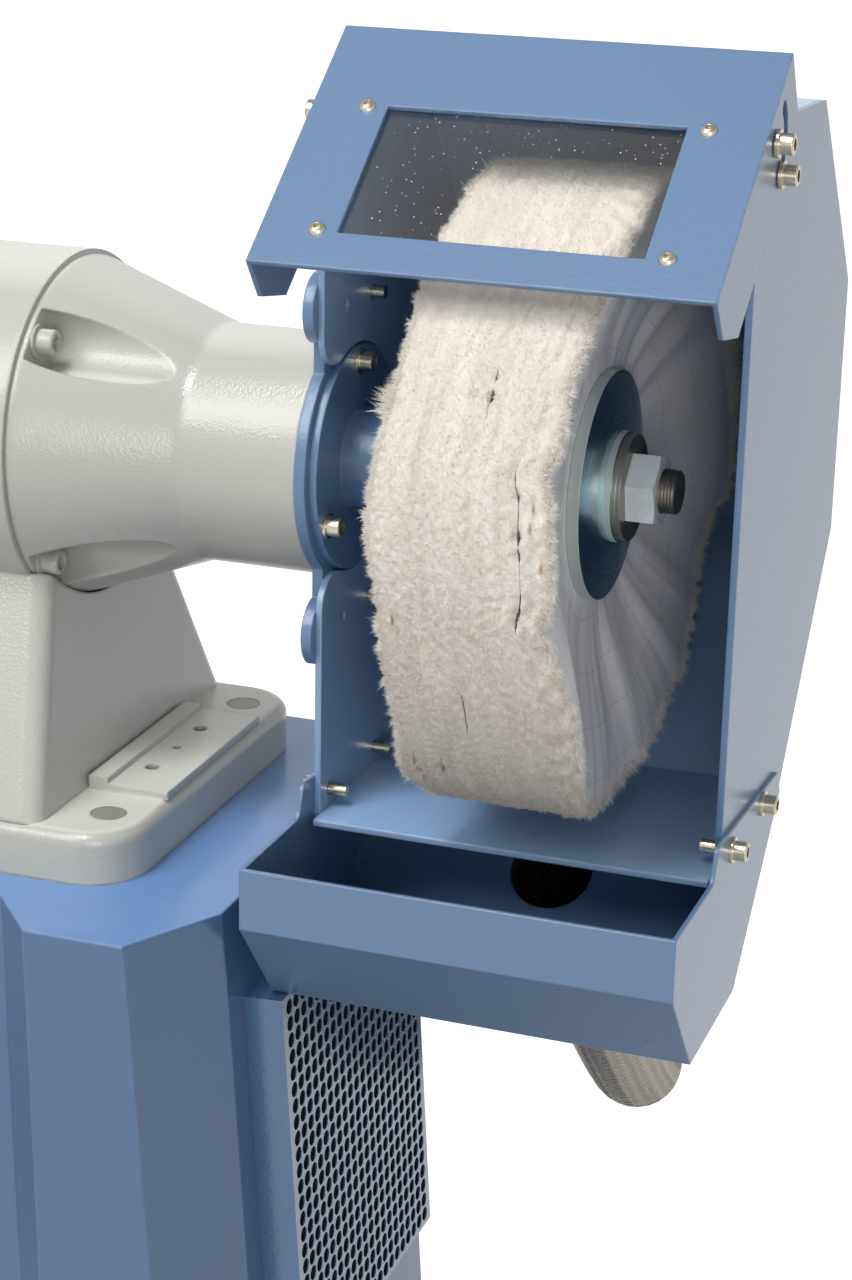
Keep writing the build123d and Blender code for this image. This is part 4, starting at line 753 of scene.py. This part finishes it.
class POLISHER_OT_hoods(bpy.types.Operator):
    """Paints the hoods, brackets, shaft guards, visors and trays."""

    bl_idname = "polisher.hoods"
    bl_label = "Hoods"

    def execute(self, context):
        colours = context.scene.polisher_colours
        sizes = context.scene.polisher_sizes
        # Structured powder coat on folded sheet: mid blue, orange-peel grain, lighter on the cut edges,
        # partly from wear and partly as a painted highlight.
        coat = coat_of_paint(
            "structured_blue_powder_coat", colours.sheet_blue, grain=sizes.sheet_grain, relief=0.08 * mm,
            roughness=0.32, edge_r=1.5 * mm, edge_light=1.7, lacquer=0.5)
        dress(coat, *both("hood_bracket", "shaft_guard", "hood_outer_wall", "visor", "tray"))
        # The same coat inside the hood, painted paler: partly polish dust, partly painted light that makes
        # up for the shade inside the hood; level faces are lighter still.
        dusty = coat_of_paint(
            "dusty_blue_powder_coat", linear("#7b97b8"), grain=sizes.sheet_grain, relief=0.08 * mm,
            roughness=0.32, edge_r=1.5 * mm, edge_light=1.5, lacquer=0.5, dust=1.45)
        dress(dusty, *both("hood_inner_wall", "hood_wrapper"))
        dress(clear_polycarbonate(), *both("visor_window"))
        return {"FINISHED"}


class POLISHER_OT_fasteners(bpy.types.Operator):
    """Plates the screws and bolts of the sheet metal."""

    bl_idname = "polisher.fasteners"
    bl_label = "Fasteners"

    def execute(self, context):
        # Zinc-plated steel with a yellowish passivation, slightly hazy.
        plated = plated_steel(
            "yellowish_zinc_plate", linear("#d3cab4"), roughness=0.26, grain=0.7 * mm, relief=0.02 * mm)
        dress(
            plated, "bracket_bolts", "guard_screws", "visor_screws", "tray_screws", "panel_screws",
            *both("window_screws"))
        return {"FINISHED"}


class POLISHER_OT_spindle(bpy.types.Operator):
    """Finishes the spindle, its flanges, washers and nuts."""

    bl_idname = "polisher.spindle"
    bl_label = "Spindle"

    def execute(self, context):
        # Turned steel with bright zinc: a pale blue face drawn into a fan of light, and a pale hazy rim; the
        # two tones are partly the zinc's own and partly painted reflection.
        flange = turned_steel(
            "turned_bright_zinc", linear("#93c8df"), linear("#d3dcd7"), roughness=0.2, rim_roughness=0.42,
            groove=0.5 * mm, relief=0.012 * mm, stretch=0.6, rim_bare=0.6)
        dress(flange, *both("inner_flange", "outer_flange"))
        # Plain rolled steel, dark from handling, with its rims painted brighter: partly wear, partly a
        # painted highlight.
        washer = turned_steel(
            "plain_washer_steel", linear("#7d7871"), linear("#b9b2a6"), roughness=0.34, rim_roughness=0.28,
            groove=0.5 * mm, relief=0.03 * mm, stretch=0.4)
        dress(washer, "spindle_washers")
        # Cold-forged nut with bright zinc: pale blue-silver, hazy enough to stay light all over.
        nut = plated_steel(
            "bright_zinc_nut", linear("#e3ebee"), roughness=0.4, grain=0.9 * mm, relief=0.04 * mm, bare=0.3)
        dress(nut, "spindle_nuts")
        # Turned shaft steel, oiled.
        shaft = turned_steel(
            "turned_shaft_steel", linear("#8f8a82"), linear("#b4ada2"), roughness=0.3, rim_roughness=0.24,
            groove=0.5 * mm, relief=0.02 * mm, stretch=0.4)
        dress(shaft, "spindle_shaft")
        return {"FINISHED"}


def between(values, angle):
    """Values between the evenly spaced ones round the wheel, changing smoothly."""
    row = np.array(values)
    place = (angle / math.tau) % 1.0 * len(row)
    first = np.floor(place).astype(int) % len(row)
    share = place - np.floor(place)
    smooth = share * share * (3 - 2 * share)
    return (row[first] + (row[(first + 1) % len(row)] - row[first]) * smooth) * mm


def ripple(angle, low, high, drift=0.0, *, seed):
    """Smooth waviness, mostly from -1 to 1, that closes up round the wheel. It has low to high lobes."""
    rng = np.random.default_rng(seed)
    lobes = range(low, high + 1)
    total = 0.0
    for lobe in lobes:
        phase = rng.uniform(0, math.tau)
        lean = rng.uniform(-1.5, 1.5)
        total = total + np.sin(lobe * angle + phase + drift * lean)
    return total / (1.3 * math.sqrt(len(lobes)))


def swell(angle, place, half):
    """One at a place round the wheel, dying away over its half length. Both are in degrees."""
    apart = (np.degrees(angle) - place + 180) % 360 - 180
    return np.exp(-(apart / half) ** 2)


def slit_width(meeting, angle):
    """How far two sections stand apart at the rim."""
    wide = np.zeros_like(angle)
    for number, place, half, width in slits:
        if number == meeting:
            wide = wide + width * mm * swell(angle, place, half)
    return wide * np.clip(0.8 + 0.7 * ripple(angle, 50, 120, seed=45 + meeting), 0, 1.5)


def rim_at(angle):
    """The buff's radius at an angle."""
    return between(rim_radius, angle) + 0.5 * mm * ripple(angle, 3, 11, seed=8)


def far_edge_at(angle):
    """Where the rim's outer edge lies along the spindle, with the bites torn out of it."""
    edge = between(far_edge, angle) + 0.8 * mm * ripple(angle, 11, 31, seed=12)
    for place, depth in torn_places:
        edge = edge - depth * mm * swell(angle, place, half=3.5)
    return edge


def cloth_x(across, angle, radius, rim_r):
    """Where cloth lies along the spindle: flat between the flanges, frilled and pleated towards the rim."""
    spread = np.clip((radius - buff_flat_r) / (rim_r - buff_flat_r), 0, 1)
    ease = spread * spread * (3 - 2 * spread)
    hub = buff_hub_near + (buff_hub_far - buff_hub_near) * across
    near = between(near_edge, angle) + 0.8 * mm * ripple(angle, 9, 27, seed=13)
    rim = near + (far_edge_at(angle) - near) * across
    sway = 2.0 * mm * np.sin(math.pi * across) * ripple(angle, 2, 8, 2 * across, seed=14)
    pleat = np.sin(math.pi * spread ** 0.7) * ripple(angle, 11, 26, 2 * across + 2 * spread, seed=15)
    return hub + (rim + sway - hub) * ease + 1.3 * mm * pleat


def tread_height(across, angle):
    """How far the worn rim stands off its mean radius: ridges, round corners, furrows between sections."""
    ridge = 0.5 * ripple(angle, 3, 12, 24 * across, seed=50)
    ridge = ridge + 0.25 * np.sin(75 * across + 2 * ripple(angle, 2, 7, seed=51))
    clump = 0.24 * ripple(angle, 60, 190, 90 * across, seed=52)
    # The outermost section is the most torn.
    outermost = np.clip((across - section_edges[-2]) / 0.04, 0, 1)
    ragged = 0.9 * ripple(angle, 25, 70, 25 * across, seed=53) * outermost
    height = ridge + clump + ragged - 2.4 * np.abs(2 * across - 1) ** 24
    for meeting in range(1, buff_sections):
        apart = (across - section_edges[meeting]) * buff_width / mm
        furrow = np.clip(0.5 * ripple(angle, 4, 15, seed=40 + meeting) - 0.1, 0, None)
        depth = furrow + slit_width(meeting, angle) / mm
        height = height - depth * np.exp(-(apart / 1.1) ** 2)
    return height * mm


def mark_at(across, angle):
    """How strongly polish has browned the rim, from 0 to 1."""
    brown = np.zeros_like(angle)
    for share, place in marks:
        brown = np.maximum(brown, swell(angle, place, half=1.1) * np.exp(-((across - share) / 0.008) ** 2))
    return brown


def on_wheel(x, angle, radius):
    """Points at distances along the spindle, angles from the top towards the front, and radii."""
    return np.stack([x, -np.sin(angle) * radius, spindle_height + np.cos(angle) * radius], axis=-1)


def set_places(mesh, places):
    """Moves a mesh's vertices to the places."""
    mesh.vertices.foreach_set("co", places.astype(np.float32).ravel())
    mesh.update()


def keep_values(mesh, name, values):
    """Stores one value at each vertex for a material to read."""
    kept = mesh.attributes.new(name, "FLOAT", "POINT")
    kept.data.foreach_set("value", values.astype(np.float32))


def section_outline(section):
    """A sewn section's outline as (share of its width, share of its radius), from hub to rim and back."""
    near_steps = open_face_steps if section == 0 else hidden_face_steps
    far_steps = open_face_steps if section == buff_sections - 1 else hidden_face_steps
    tread_steps = round(rim_steps * (section_edges[section + 1] - section_edges[section]))
    outline = [(0.0, i / near_steps) for i in range(near_steps)]
    outline += [(i / tread_steps, 1.0) for i in range(tread_steps + 1)]
    outline += [(1.0, 1 - (i + 1) / far_steps) for i in range(far_steps)]
    return outline


def cloth_section(name, section, nap):
    """The mesh of one sewn section of cloth, with its cut rim teased up."""
    bm = bmesh.new()
    # The outline is spun at a stand-in size, with the hub at 1 and the rim at 2, so that both shares can be
    # read back. Then it is shaped.
    on_rim = 0.999
    points = [bm.verts.new((share, 0.0, 1.0 + reach)) for share, reach in section_outline(section)]
    edges = [bm.edges.new(pair) for pair in zip(points, points[1:])]
    bmesh.ops.spin(
        bm, geom=points + edges, cent=(0, 0, 0), axis=(1, 0, 0), angle=math.tau, steps=wheel_steps,
        use_merge=True)
    bmesh.ops.recalc_face_normals(bm, faces=bm.faces)
    tread = [face for face in bm.faces if all(v.co.yz.length - 1.0 > on_rim for v in face.verts)]
    for face in bm.faces:
        face.material_index = 1
    for face in tread:
        face.material_index = 0
    # The rim is lit as one surface from section to section, so its edges don't round over.
    for edge in bm.edges:
        edge.smooth = len({face.material_index for face in edge.link_faces}) == 1
    # Every face of the rim gets a tuft at its middle, which is told by standing far outside.
    tufts = bmesh.ops.poke(bm, faces=tread)["verts"]
    bmesh.ops.scale(bm, vec=(1.0, 1.25, 1.25), verts=tufts)
    mesh = mesh_of(name, bm)

    spun = np.zeros(len(mesh.vertices) * 3, np.float32)
    mesh.vertices.foreach_get("co", spun)
    spun = spun.reshape(-1, 3).astype(float)
    share = spun[:, 0]
    reach = np.hypot(spun[:, 1], spun[:, 2]) - 1.0
    tuft = reach > 1.2
    reach = np.minimum(reach, 1.0)
    angle = np.arctan2(-spun[:, 1], spun[:, 2])
    across = section_edges[section] + (section_edges[section + 1] - section_edges[section]) * share
    rim_r = rim_at(angle)
    radius = buff_bore_r + (rim_r - buff_bore_r) * reach
    radius = radius + np.where(reach > on_rim, tread_height(across, angle), 0.0)
    rng = np.random.default_rng(100 + section)
    stand = nap * rng.uniform(0.0, 0.4, len(angle))
    parted = slit_width(section, angle) * (1 - share) - slit_width(section + 1, angle) * share
    x = cloth_x(across, angle, radius, rim_r) + 0.5 * parted * reach ** 8
    set_places(mesh, on_wheel(x, angle, radius + np.where(tuft, stand, 0.0)))
    keep_values(mesh, "mark", mark_at(across, angle))
    keep_values(mesh, "ply", across * buff_width)
    return mesh


def strands(name, doublings, tall):
    """A mesh of loose strands, made from one by doubling. A tall strand has a bend in it."""
    bm = bmesh.new()
    low = [bm.verts.new((-1, 0, 0)), bm.verts.new((1, 0, 0))]
    if tall:
        middle = [bm.verts.new((-1, 0, 1)), bm.verts.new((1, 0, 1))]
        bm.faces.new((low[0], low[1], middle[1], middle[0]))
        low = middle
    tip = bm.verts.new((0, 0, 2))
    bm.faces.new((low[0], low[1], tip))
    for _ in range(doublings):
        bmesh.ops.duplicate(bm, geom=bm.verts[:] + bm.edges[:] + bm.faces[:])
    return mesh_of(name, bm)


def directions(angle):
    """Unit vectors along the spindle, outwards and round the wheel."""
    none = np.zeros_like(angle)
    side = np.stack([none + 1, none, none], axis=-1)
    out = np.stack([none, -np.sin(angle), np.cos(angle)], axis=-1)
    return side, out, np.cross(out, side)


def unit(vectors):
    """The vectors at a length of one."""
    return vectors / np.linalg.norm(vectors, axis=-1, keepdims=True)


def breadth(heading, out, rng):
    """Unit vectors across the strands, a little turned, with each strand's flat side outwards."""
    return unit(np.cross(heading, out + rng.normal(0, 0.15, heading.shape)))


def nap_mesh(name, doublings, nap):
    """The short nap all over the rim: fibres that lie over towards the nearer edge, in patches like fur."""
    mesh = strands(name, doublings, False)
    count = len(mesh.polygons)
    rng = np.random.default_rng(7)
    angle = rng.uniform(0, math.tau, count)
    across = rng.uniform(0.0, 1.0, count)
    rim_r = rim_at(angle)
    radius = rim_r + tread_height(across, angle)
    root = on_wheel(cloth_x(across, angle, radius, rim_r), angle, radius - nap_root_depth)
    side, out, along = directions(angle)
    sideways = (2 * across - 1) ** 3 + 0.7 * ripple(angle, 30, 90, 60 * across, seed=61)
    sideways = sideways + rng.normal(0, 0.5, count)
    onward = 0.7 * ripple(angle, 30, 90, 60 * across, seed=62) + rng.normal(0, 0.5, count)
    # Most fibres lie nearly flat, and some stand up.
    rise = 0.28 + 0.8 * rng.uniform(0, 1, count) ** 2
    heading = unit(out * rise[:, None] + side * sideways[:, None] + along * onward[:, None])
    length = nap * rng.uniform(0.5, 1.4, count)
    for meeting in range(1, buff_sections):
        apart = np.abs(across - section_edges[meeting]) * buff_width
        length = np.where(apart < 0.7 * slit_width(meeting, angle), 0.05 * length, length)
    broad = breadth(heading, out, rng) * nap_half_width
    tip = root + heading * length[:, None]
    set_places(mesh, np.stack([root - broad, root + broad, tip], axis=1))
    keep_values(mesh, "mark", np.repeat(mark_at(across, angle), 3))
    keep_values(mesh, "ply", np.repeat(across * buff_width, 3))
    keep_values(mesh, "shade", np.repeat(rng.uniform(0, 1, count) ** 3, 3))
    return mesh


def fringe_mesh(name, doublings, length):
    """The frayed threads at both edges of the rim, in tufts, longer where the cloth has come undone."""
    mesh = strands(name, doublings, True)
    count = len(mesh.polygons) // 2
    rng = np.random.default_rng(9)
    angle = rng.uniform(0, math.tau, count)
    # Three threads in five are at the outer edge.
    outer = rng.uniform(0, 1, count) < 0.6
    inset = 0.04 * rng.uniform(0, 1, count) ** 2
    across = np.where(outer, 1 - inset, inset)
    rim_r = rim_at(angle)
    radius = rim_r + tread_height(across, angle)
    # On the outer face the fringe starts as far in as the cloth has come undone.
    radius = radius - 0.6 * mm - np.where(outer, 6 * mm * rng.uniform(0, 1, count) ** 3, 0.0)
    root = on_wheel(cloth_x(across, angle, radius, rim_r), angle, radius)
    side, out, along = directions(angle)
    sideways = np.where(outer, 0.7, -0.8) + rng.normal(0, 0.35, count)
    onward = 0.55 * ripple(angle, 12, 48, seed=63) + rng.normal(0, 0.25, count)
    heading = unit(out * 0.8 + side * sideways[:, None] + along * onward[:, None])
    tufted = np.clip(0.85 + 0.4 * ripple(angle, 50, 160, seed=64), 0.25, 2.0)
    undone = np.where(outer, 1.7 * swell(angle, place=294, half=26), 1.8 * swell(angle, place=64, half=2.5))
    # The inner edge is worn to a short pile.
    long = length * rng.uniform(0.25, 1.15, count) * tufted * np.where(outer, 1.0, 0.75) * (1 + undone)
    bend = rng.normal(0, 0.22, (count, 3))
    climb = np.sum((heading + bend) * out, axis=1)
    long = np.minimum(long, (thread_reach - radius) / np.maximum(climb, 0.2))
    broad = breadth(heading, out, rng) * thread_half_width
    middle = root + heading * 0.5 * long[:, None]
    tip = root + (heading + bend) * long[:, None]
    slim = 0.8 * broad
    set_places(mesh, np.stack([root - broad, root + broad, middle - slim, middle + slim, tip], axis=1))
    keep_values(mesh, "ply", np.repeat(rng.uniform(0, buff_width, count), 5))
    keep_values(mesh, "shade", np.repeat(rng.uniform(0, 1, count) ** 3, 5))
    return mesh


def put_on_spindle(mesh, materials, end):
    """Makes the right-hand or the left-hand piece of a buff from a right-hand mesh."""
    if end == "left":
        mesh = mesh.copy()
        mesh.transform(Matrix.Diagonal((-1, 1, 1, 1)))
        mesh.flip_normals()
    return finish_piece(mesh.name.replace("right", end), mesh, materials, "spindle")


class POLISHER_OT_buffs(bpy.types.Operator):
    """Builds the two cotton buffs from sewn sections, their nap and their frayed edges."""

    bl_idname = "polisher.buffs"
    bl_label = "Buffs"

    def execute(self, context):
        colours = context.scene.polisher_colours
        sizes = context.scene.polisher_sizes
        nap = brushed_cotton("brushed_cotton", colours.cotton, linear("#c8b8a0"), 0.1)
        # Single threads pulled out of the cloth get a lighter cotton than its worn rim, as painted light
        # that makes up for the shade among the strands.
        thread = brushed_cotton("frayed_cotton_thread", linear("#f6f3ee"), linear("#e6dfd3"), 0.4)
        sheeting = stitched_sheeting(colours.cotton, sizes.stitch_spacing)
        cloths = [
            cloth_section("buff_cloth_right_%d" % (number + 1), number, sizes.nap_length)
            for number in range(buff_sections)]
        loose = [
            nap_mesh("buff_nap_right", nap_doublings, sizes.nap_length),
            fringe_mesh("buff_fringe_right", fringe_doublings, sizes.fringe_length)]
        for end in ("left", "right"):
            for mesh in cloths:
                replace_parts(put_on_spindle(mesh, [nap, sheeting], end), "buff_" + end)
            for mesh, cotton in zip(loose, (nap, thread)):
                put_on_spindle(mesh, [cotton], end)
        return {"FINISHED"}


class POLISHER_OT_pedestal(bpy.types.Operator):
    """Paints the pedestal, its base plate, rear panel and exhaust cover, and makes the cover's mat."""

    bl_idname = "polisher.pedestal"
    bl_label = "Pedestal"

    def execute(self, context):
        colours = context.scene.polisher_colours
        # Smooth glossy powder coat on steel plate: deep blue that mirrors soft shapes.
        # Its top is painted much lighter by dust=2.0 as painted light from above, and its edges lighter as a
        # painted highlight.
        gloss = coat_of_paint(
            "smooth_blue_powder_coat", colours.pedestal_blue, grain=14 * mm, relief=0.004 * mm,
            roughness=0.2, edge_r=2.5 * mm, edge_light=1.8, lacquer=0.3, dust=2.0)
        dress(gloss, "pedestal_column", "rear_panel", "base_plate")
        # A darker coat over punched sheet, finely grained under a clear lacquer.
        cover = coat_of_paint(
            "punched_sheet_coat", linear("#3d6086"), grain=2 * mm, relief=0.05 * mm,
            roughness=0.26, edge_r=0.5 * mm, edge_light=1.5, lacquer=1.0)
        dress(cover, "exhaust_cover")
        low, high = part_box("exhaust_mat")
        lean = math.atan(side_lean)
        tall = (high.z - low.z - mat_thickness * math.sin(lean)) / math.cos(lean)
        size = Vector((mat_thickness, high.y - low.y, tall)) - Vector((1, 1, 1)) * mm
        bm = bmesh.new()
        bmesh.ops.create_cube(bm, size=1.0)
        bmesh.ops.scale(bm, vec=size, verts=bm.verts)
        bmesh.ops.bevel(
            bm, geom=bm.edges, offset=mat_edge_r, offset_type="OFFSET", affect="EDGES", segments=3,
            profile=0.5, material=-1)
        bmesh.ops.subdivide_edges(
            bm, edges=[e for e in bm.edges if e.calc_length() > 20 * mm], cuts=24, use_grid_fill=True)
        bm.normal_update()
        for vertex in bm.verts:
            vertex.co += vertex.normal * mat_unevenness * noise.noise(vertex.co * mat_bumps_per_metre)
        bmesh.ops.rotate(bm, cent=(0, 0, 0), matrix=Matrix.Rotation(-lean, 3, "Y"), verts=bm.verts)
        bmesh.ops.translate(bm, vec=(low + high) / 2, verts=bm.verts)
        bmesh.ops.recalc_face_normals(bm, faces=bm.faces)
        mesh = mesh_of("filter_mat", bm)
        mat = finish_piece("filter_mat", mesh, [filter_fibre()], "frame")
        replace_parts(mat, "exhaust_mat")
        return {"FINISHED"}


class POLISHER_OT_extraction(bpy.types.Operator):
    """Finishes the collars and the fan inside the pedestal."""

    bl_idname = "polisher.extraction"
    bl_label = "Extraction"

    def execute(self, context):
        # Plain aluminium sheet and spun aluminium, dull silver.
        sheet = plated_steel(
            "plain_aluminium_sheet", linear("#c4c4c2"), roughness=0.38, grain=1.0 * mm, relief=0.03 * mm)
        dress(sheet, "tray_collars", "rear_collars", "fan_impeller")
        enamel = coat_of_paint(
            "dark_grey_enamel", linear("#55585c"), grain=1.8 * mm, relief=0.08 * mm, roughness=0.42,
            edge_r=1.0 * mm, edge_light=1.4)
        dress(enamel, "fan_shelf", "fan_housing", "fan_motor")
        return {"FINISHED"}


class POLISHER_OT_switch(bpy.types.Operator):
    """Finishes the switch box, its buttons and the cable gland."""

    bl_idname = "polisher.switch"
    bl_label = "Switch"

    def execute(self, context):
        colours = context.scene.polisher_colours
        box = moulded_plastic(
            "moulded_grey_abs", linear("#8b8e90"), roughness=0.5, grain=0.9 * mm, relief=0.05 * mm)
        dress(box, "switch_box")
        start = moulded_plastic(
            "moulded_green_abs", colours.start_green, roughness=0.32, grain=1.2 * mm, relief=0.02 * mm)
        dress(start, "start_button")
        stop = moulded_plastic(
            "moulded_red_abs", colours.stop_red, roughness=0.32, grain=1.2 * mm, relief=0.02 * mm)
        dress(stop, "stop_button")
        gland = moulded_plastic(
            "moulded_black_polyamide", linear("#1b1c1e"), roughness=0.48, grain=0.9 * mm, relief=0.05 * mm)
        dress(gland, "cable_gland")
        return {"FINISHED"}


class POLISHER_PT_panel(bpy.types.Panel):
    """Lists the steps that dress the machine, and what can be changed."""

    bl_idname = "POLISHER_PT_panel"
    bl_label = "Polishing Machine"
    bl_space_type = "VIEW_3D"
    bl_region_type = "UI"
    bl_category = "Polisher"

    def draw(self, context):
        for step in steps:
            self.layout.operator(step.bl_idname)
        scene = context.scene
        for group in (scene.polisher_colours, scene.polisher_sizes, scene.polisher_view):
            for name in group.bl_rna.properties.keys():
                if name not in ("rna_type", "name"):
                    self.layout.prop(group, name)


steps = (
    POLISHER_OT_stage,
    POLISHER_OT_ducts,
    POLISHER_OT_motor,
    POLISHER_OT_hoods,
    POLISHER_OT_fasteners,
    POLISHER_OT_spindle,
    POLISHER_OT_buffs,
    POLISHER_OT_pedestal,
    POLISHER_OT_extraction,
    POLISHER_OT_switch,
)
groups = (PolisherColours, PolisherSizes, PolisherView)


def register():
    """Registers the classes and hangs the settings on the scene."""
    for kind in (*groups, *steps, POLISHER_PT_panel):
        bpy.utils.register_class(kind)
    bpy.types.Scene.polisher_colours = PointerProperty(type=PolisherColours)
    bpy.types.Scene.polisher_sizes = PointerProperty(type=PolisherSizes)
    bpy.types.Scene.polisher_view = PointerProperty(type=PolisherView)


def unregister():
    """Takes the settings and classes away again."""
    del bpy.types.Scene.polisher_view
    del bpy.types.Scene.polisher_sizes
    del bpy.types.Scene.polisher_colours
    for kind in reversed((*groups, *steps, POLISHER_PT_panel)):
        bpy.utils.unregister_class(kind)


def main():
    """Dresses the machine step by step."""
    register()
    bpy.ops.polisher.stage()
    bpy.ops.polisher.ducts()
    bpy.ops.polisher.motor()
    bpy.ops.polisher.hoods()
    bpy.ops.polisher.fasteners()
    bpy.ops.polisher.spindle()
    bpy.ops.polisher.buffs()
    bpy.ops.polisher.pedestal()
    bpy.ops.polisher.extraction()
    bpy.ops.polisher.switch()


if __name__ == "__main__":
    main()
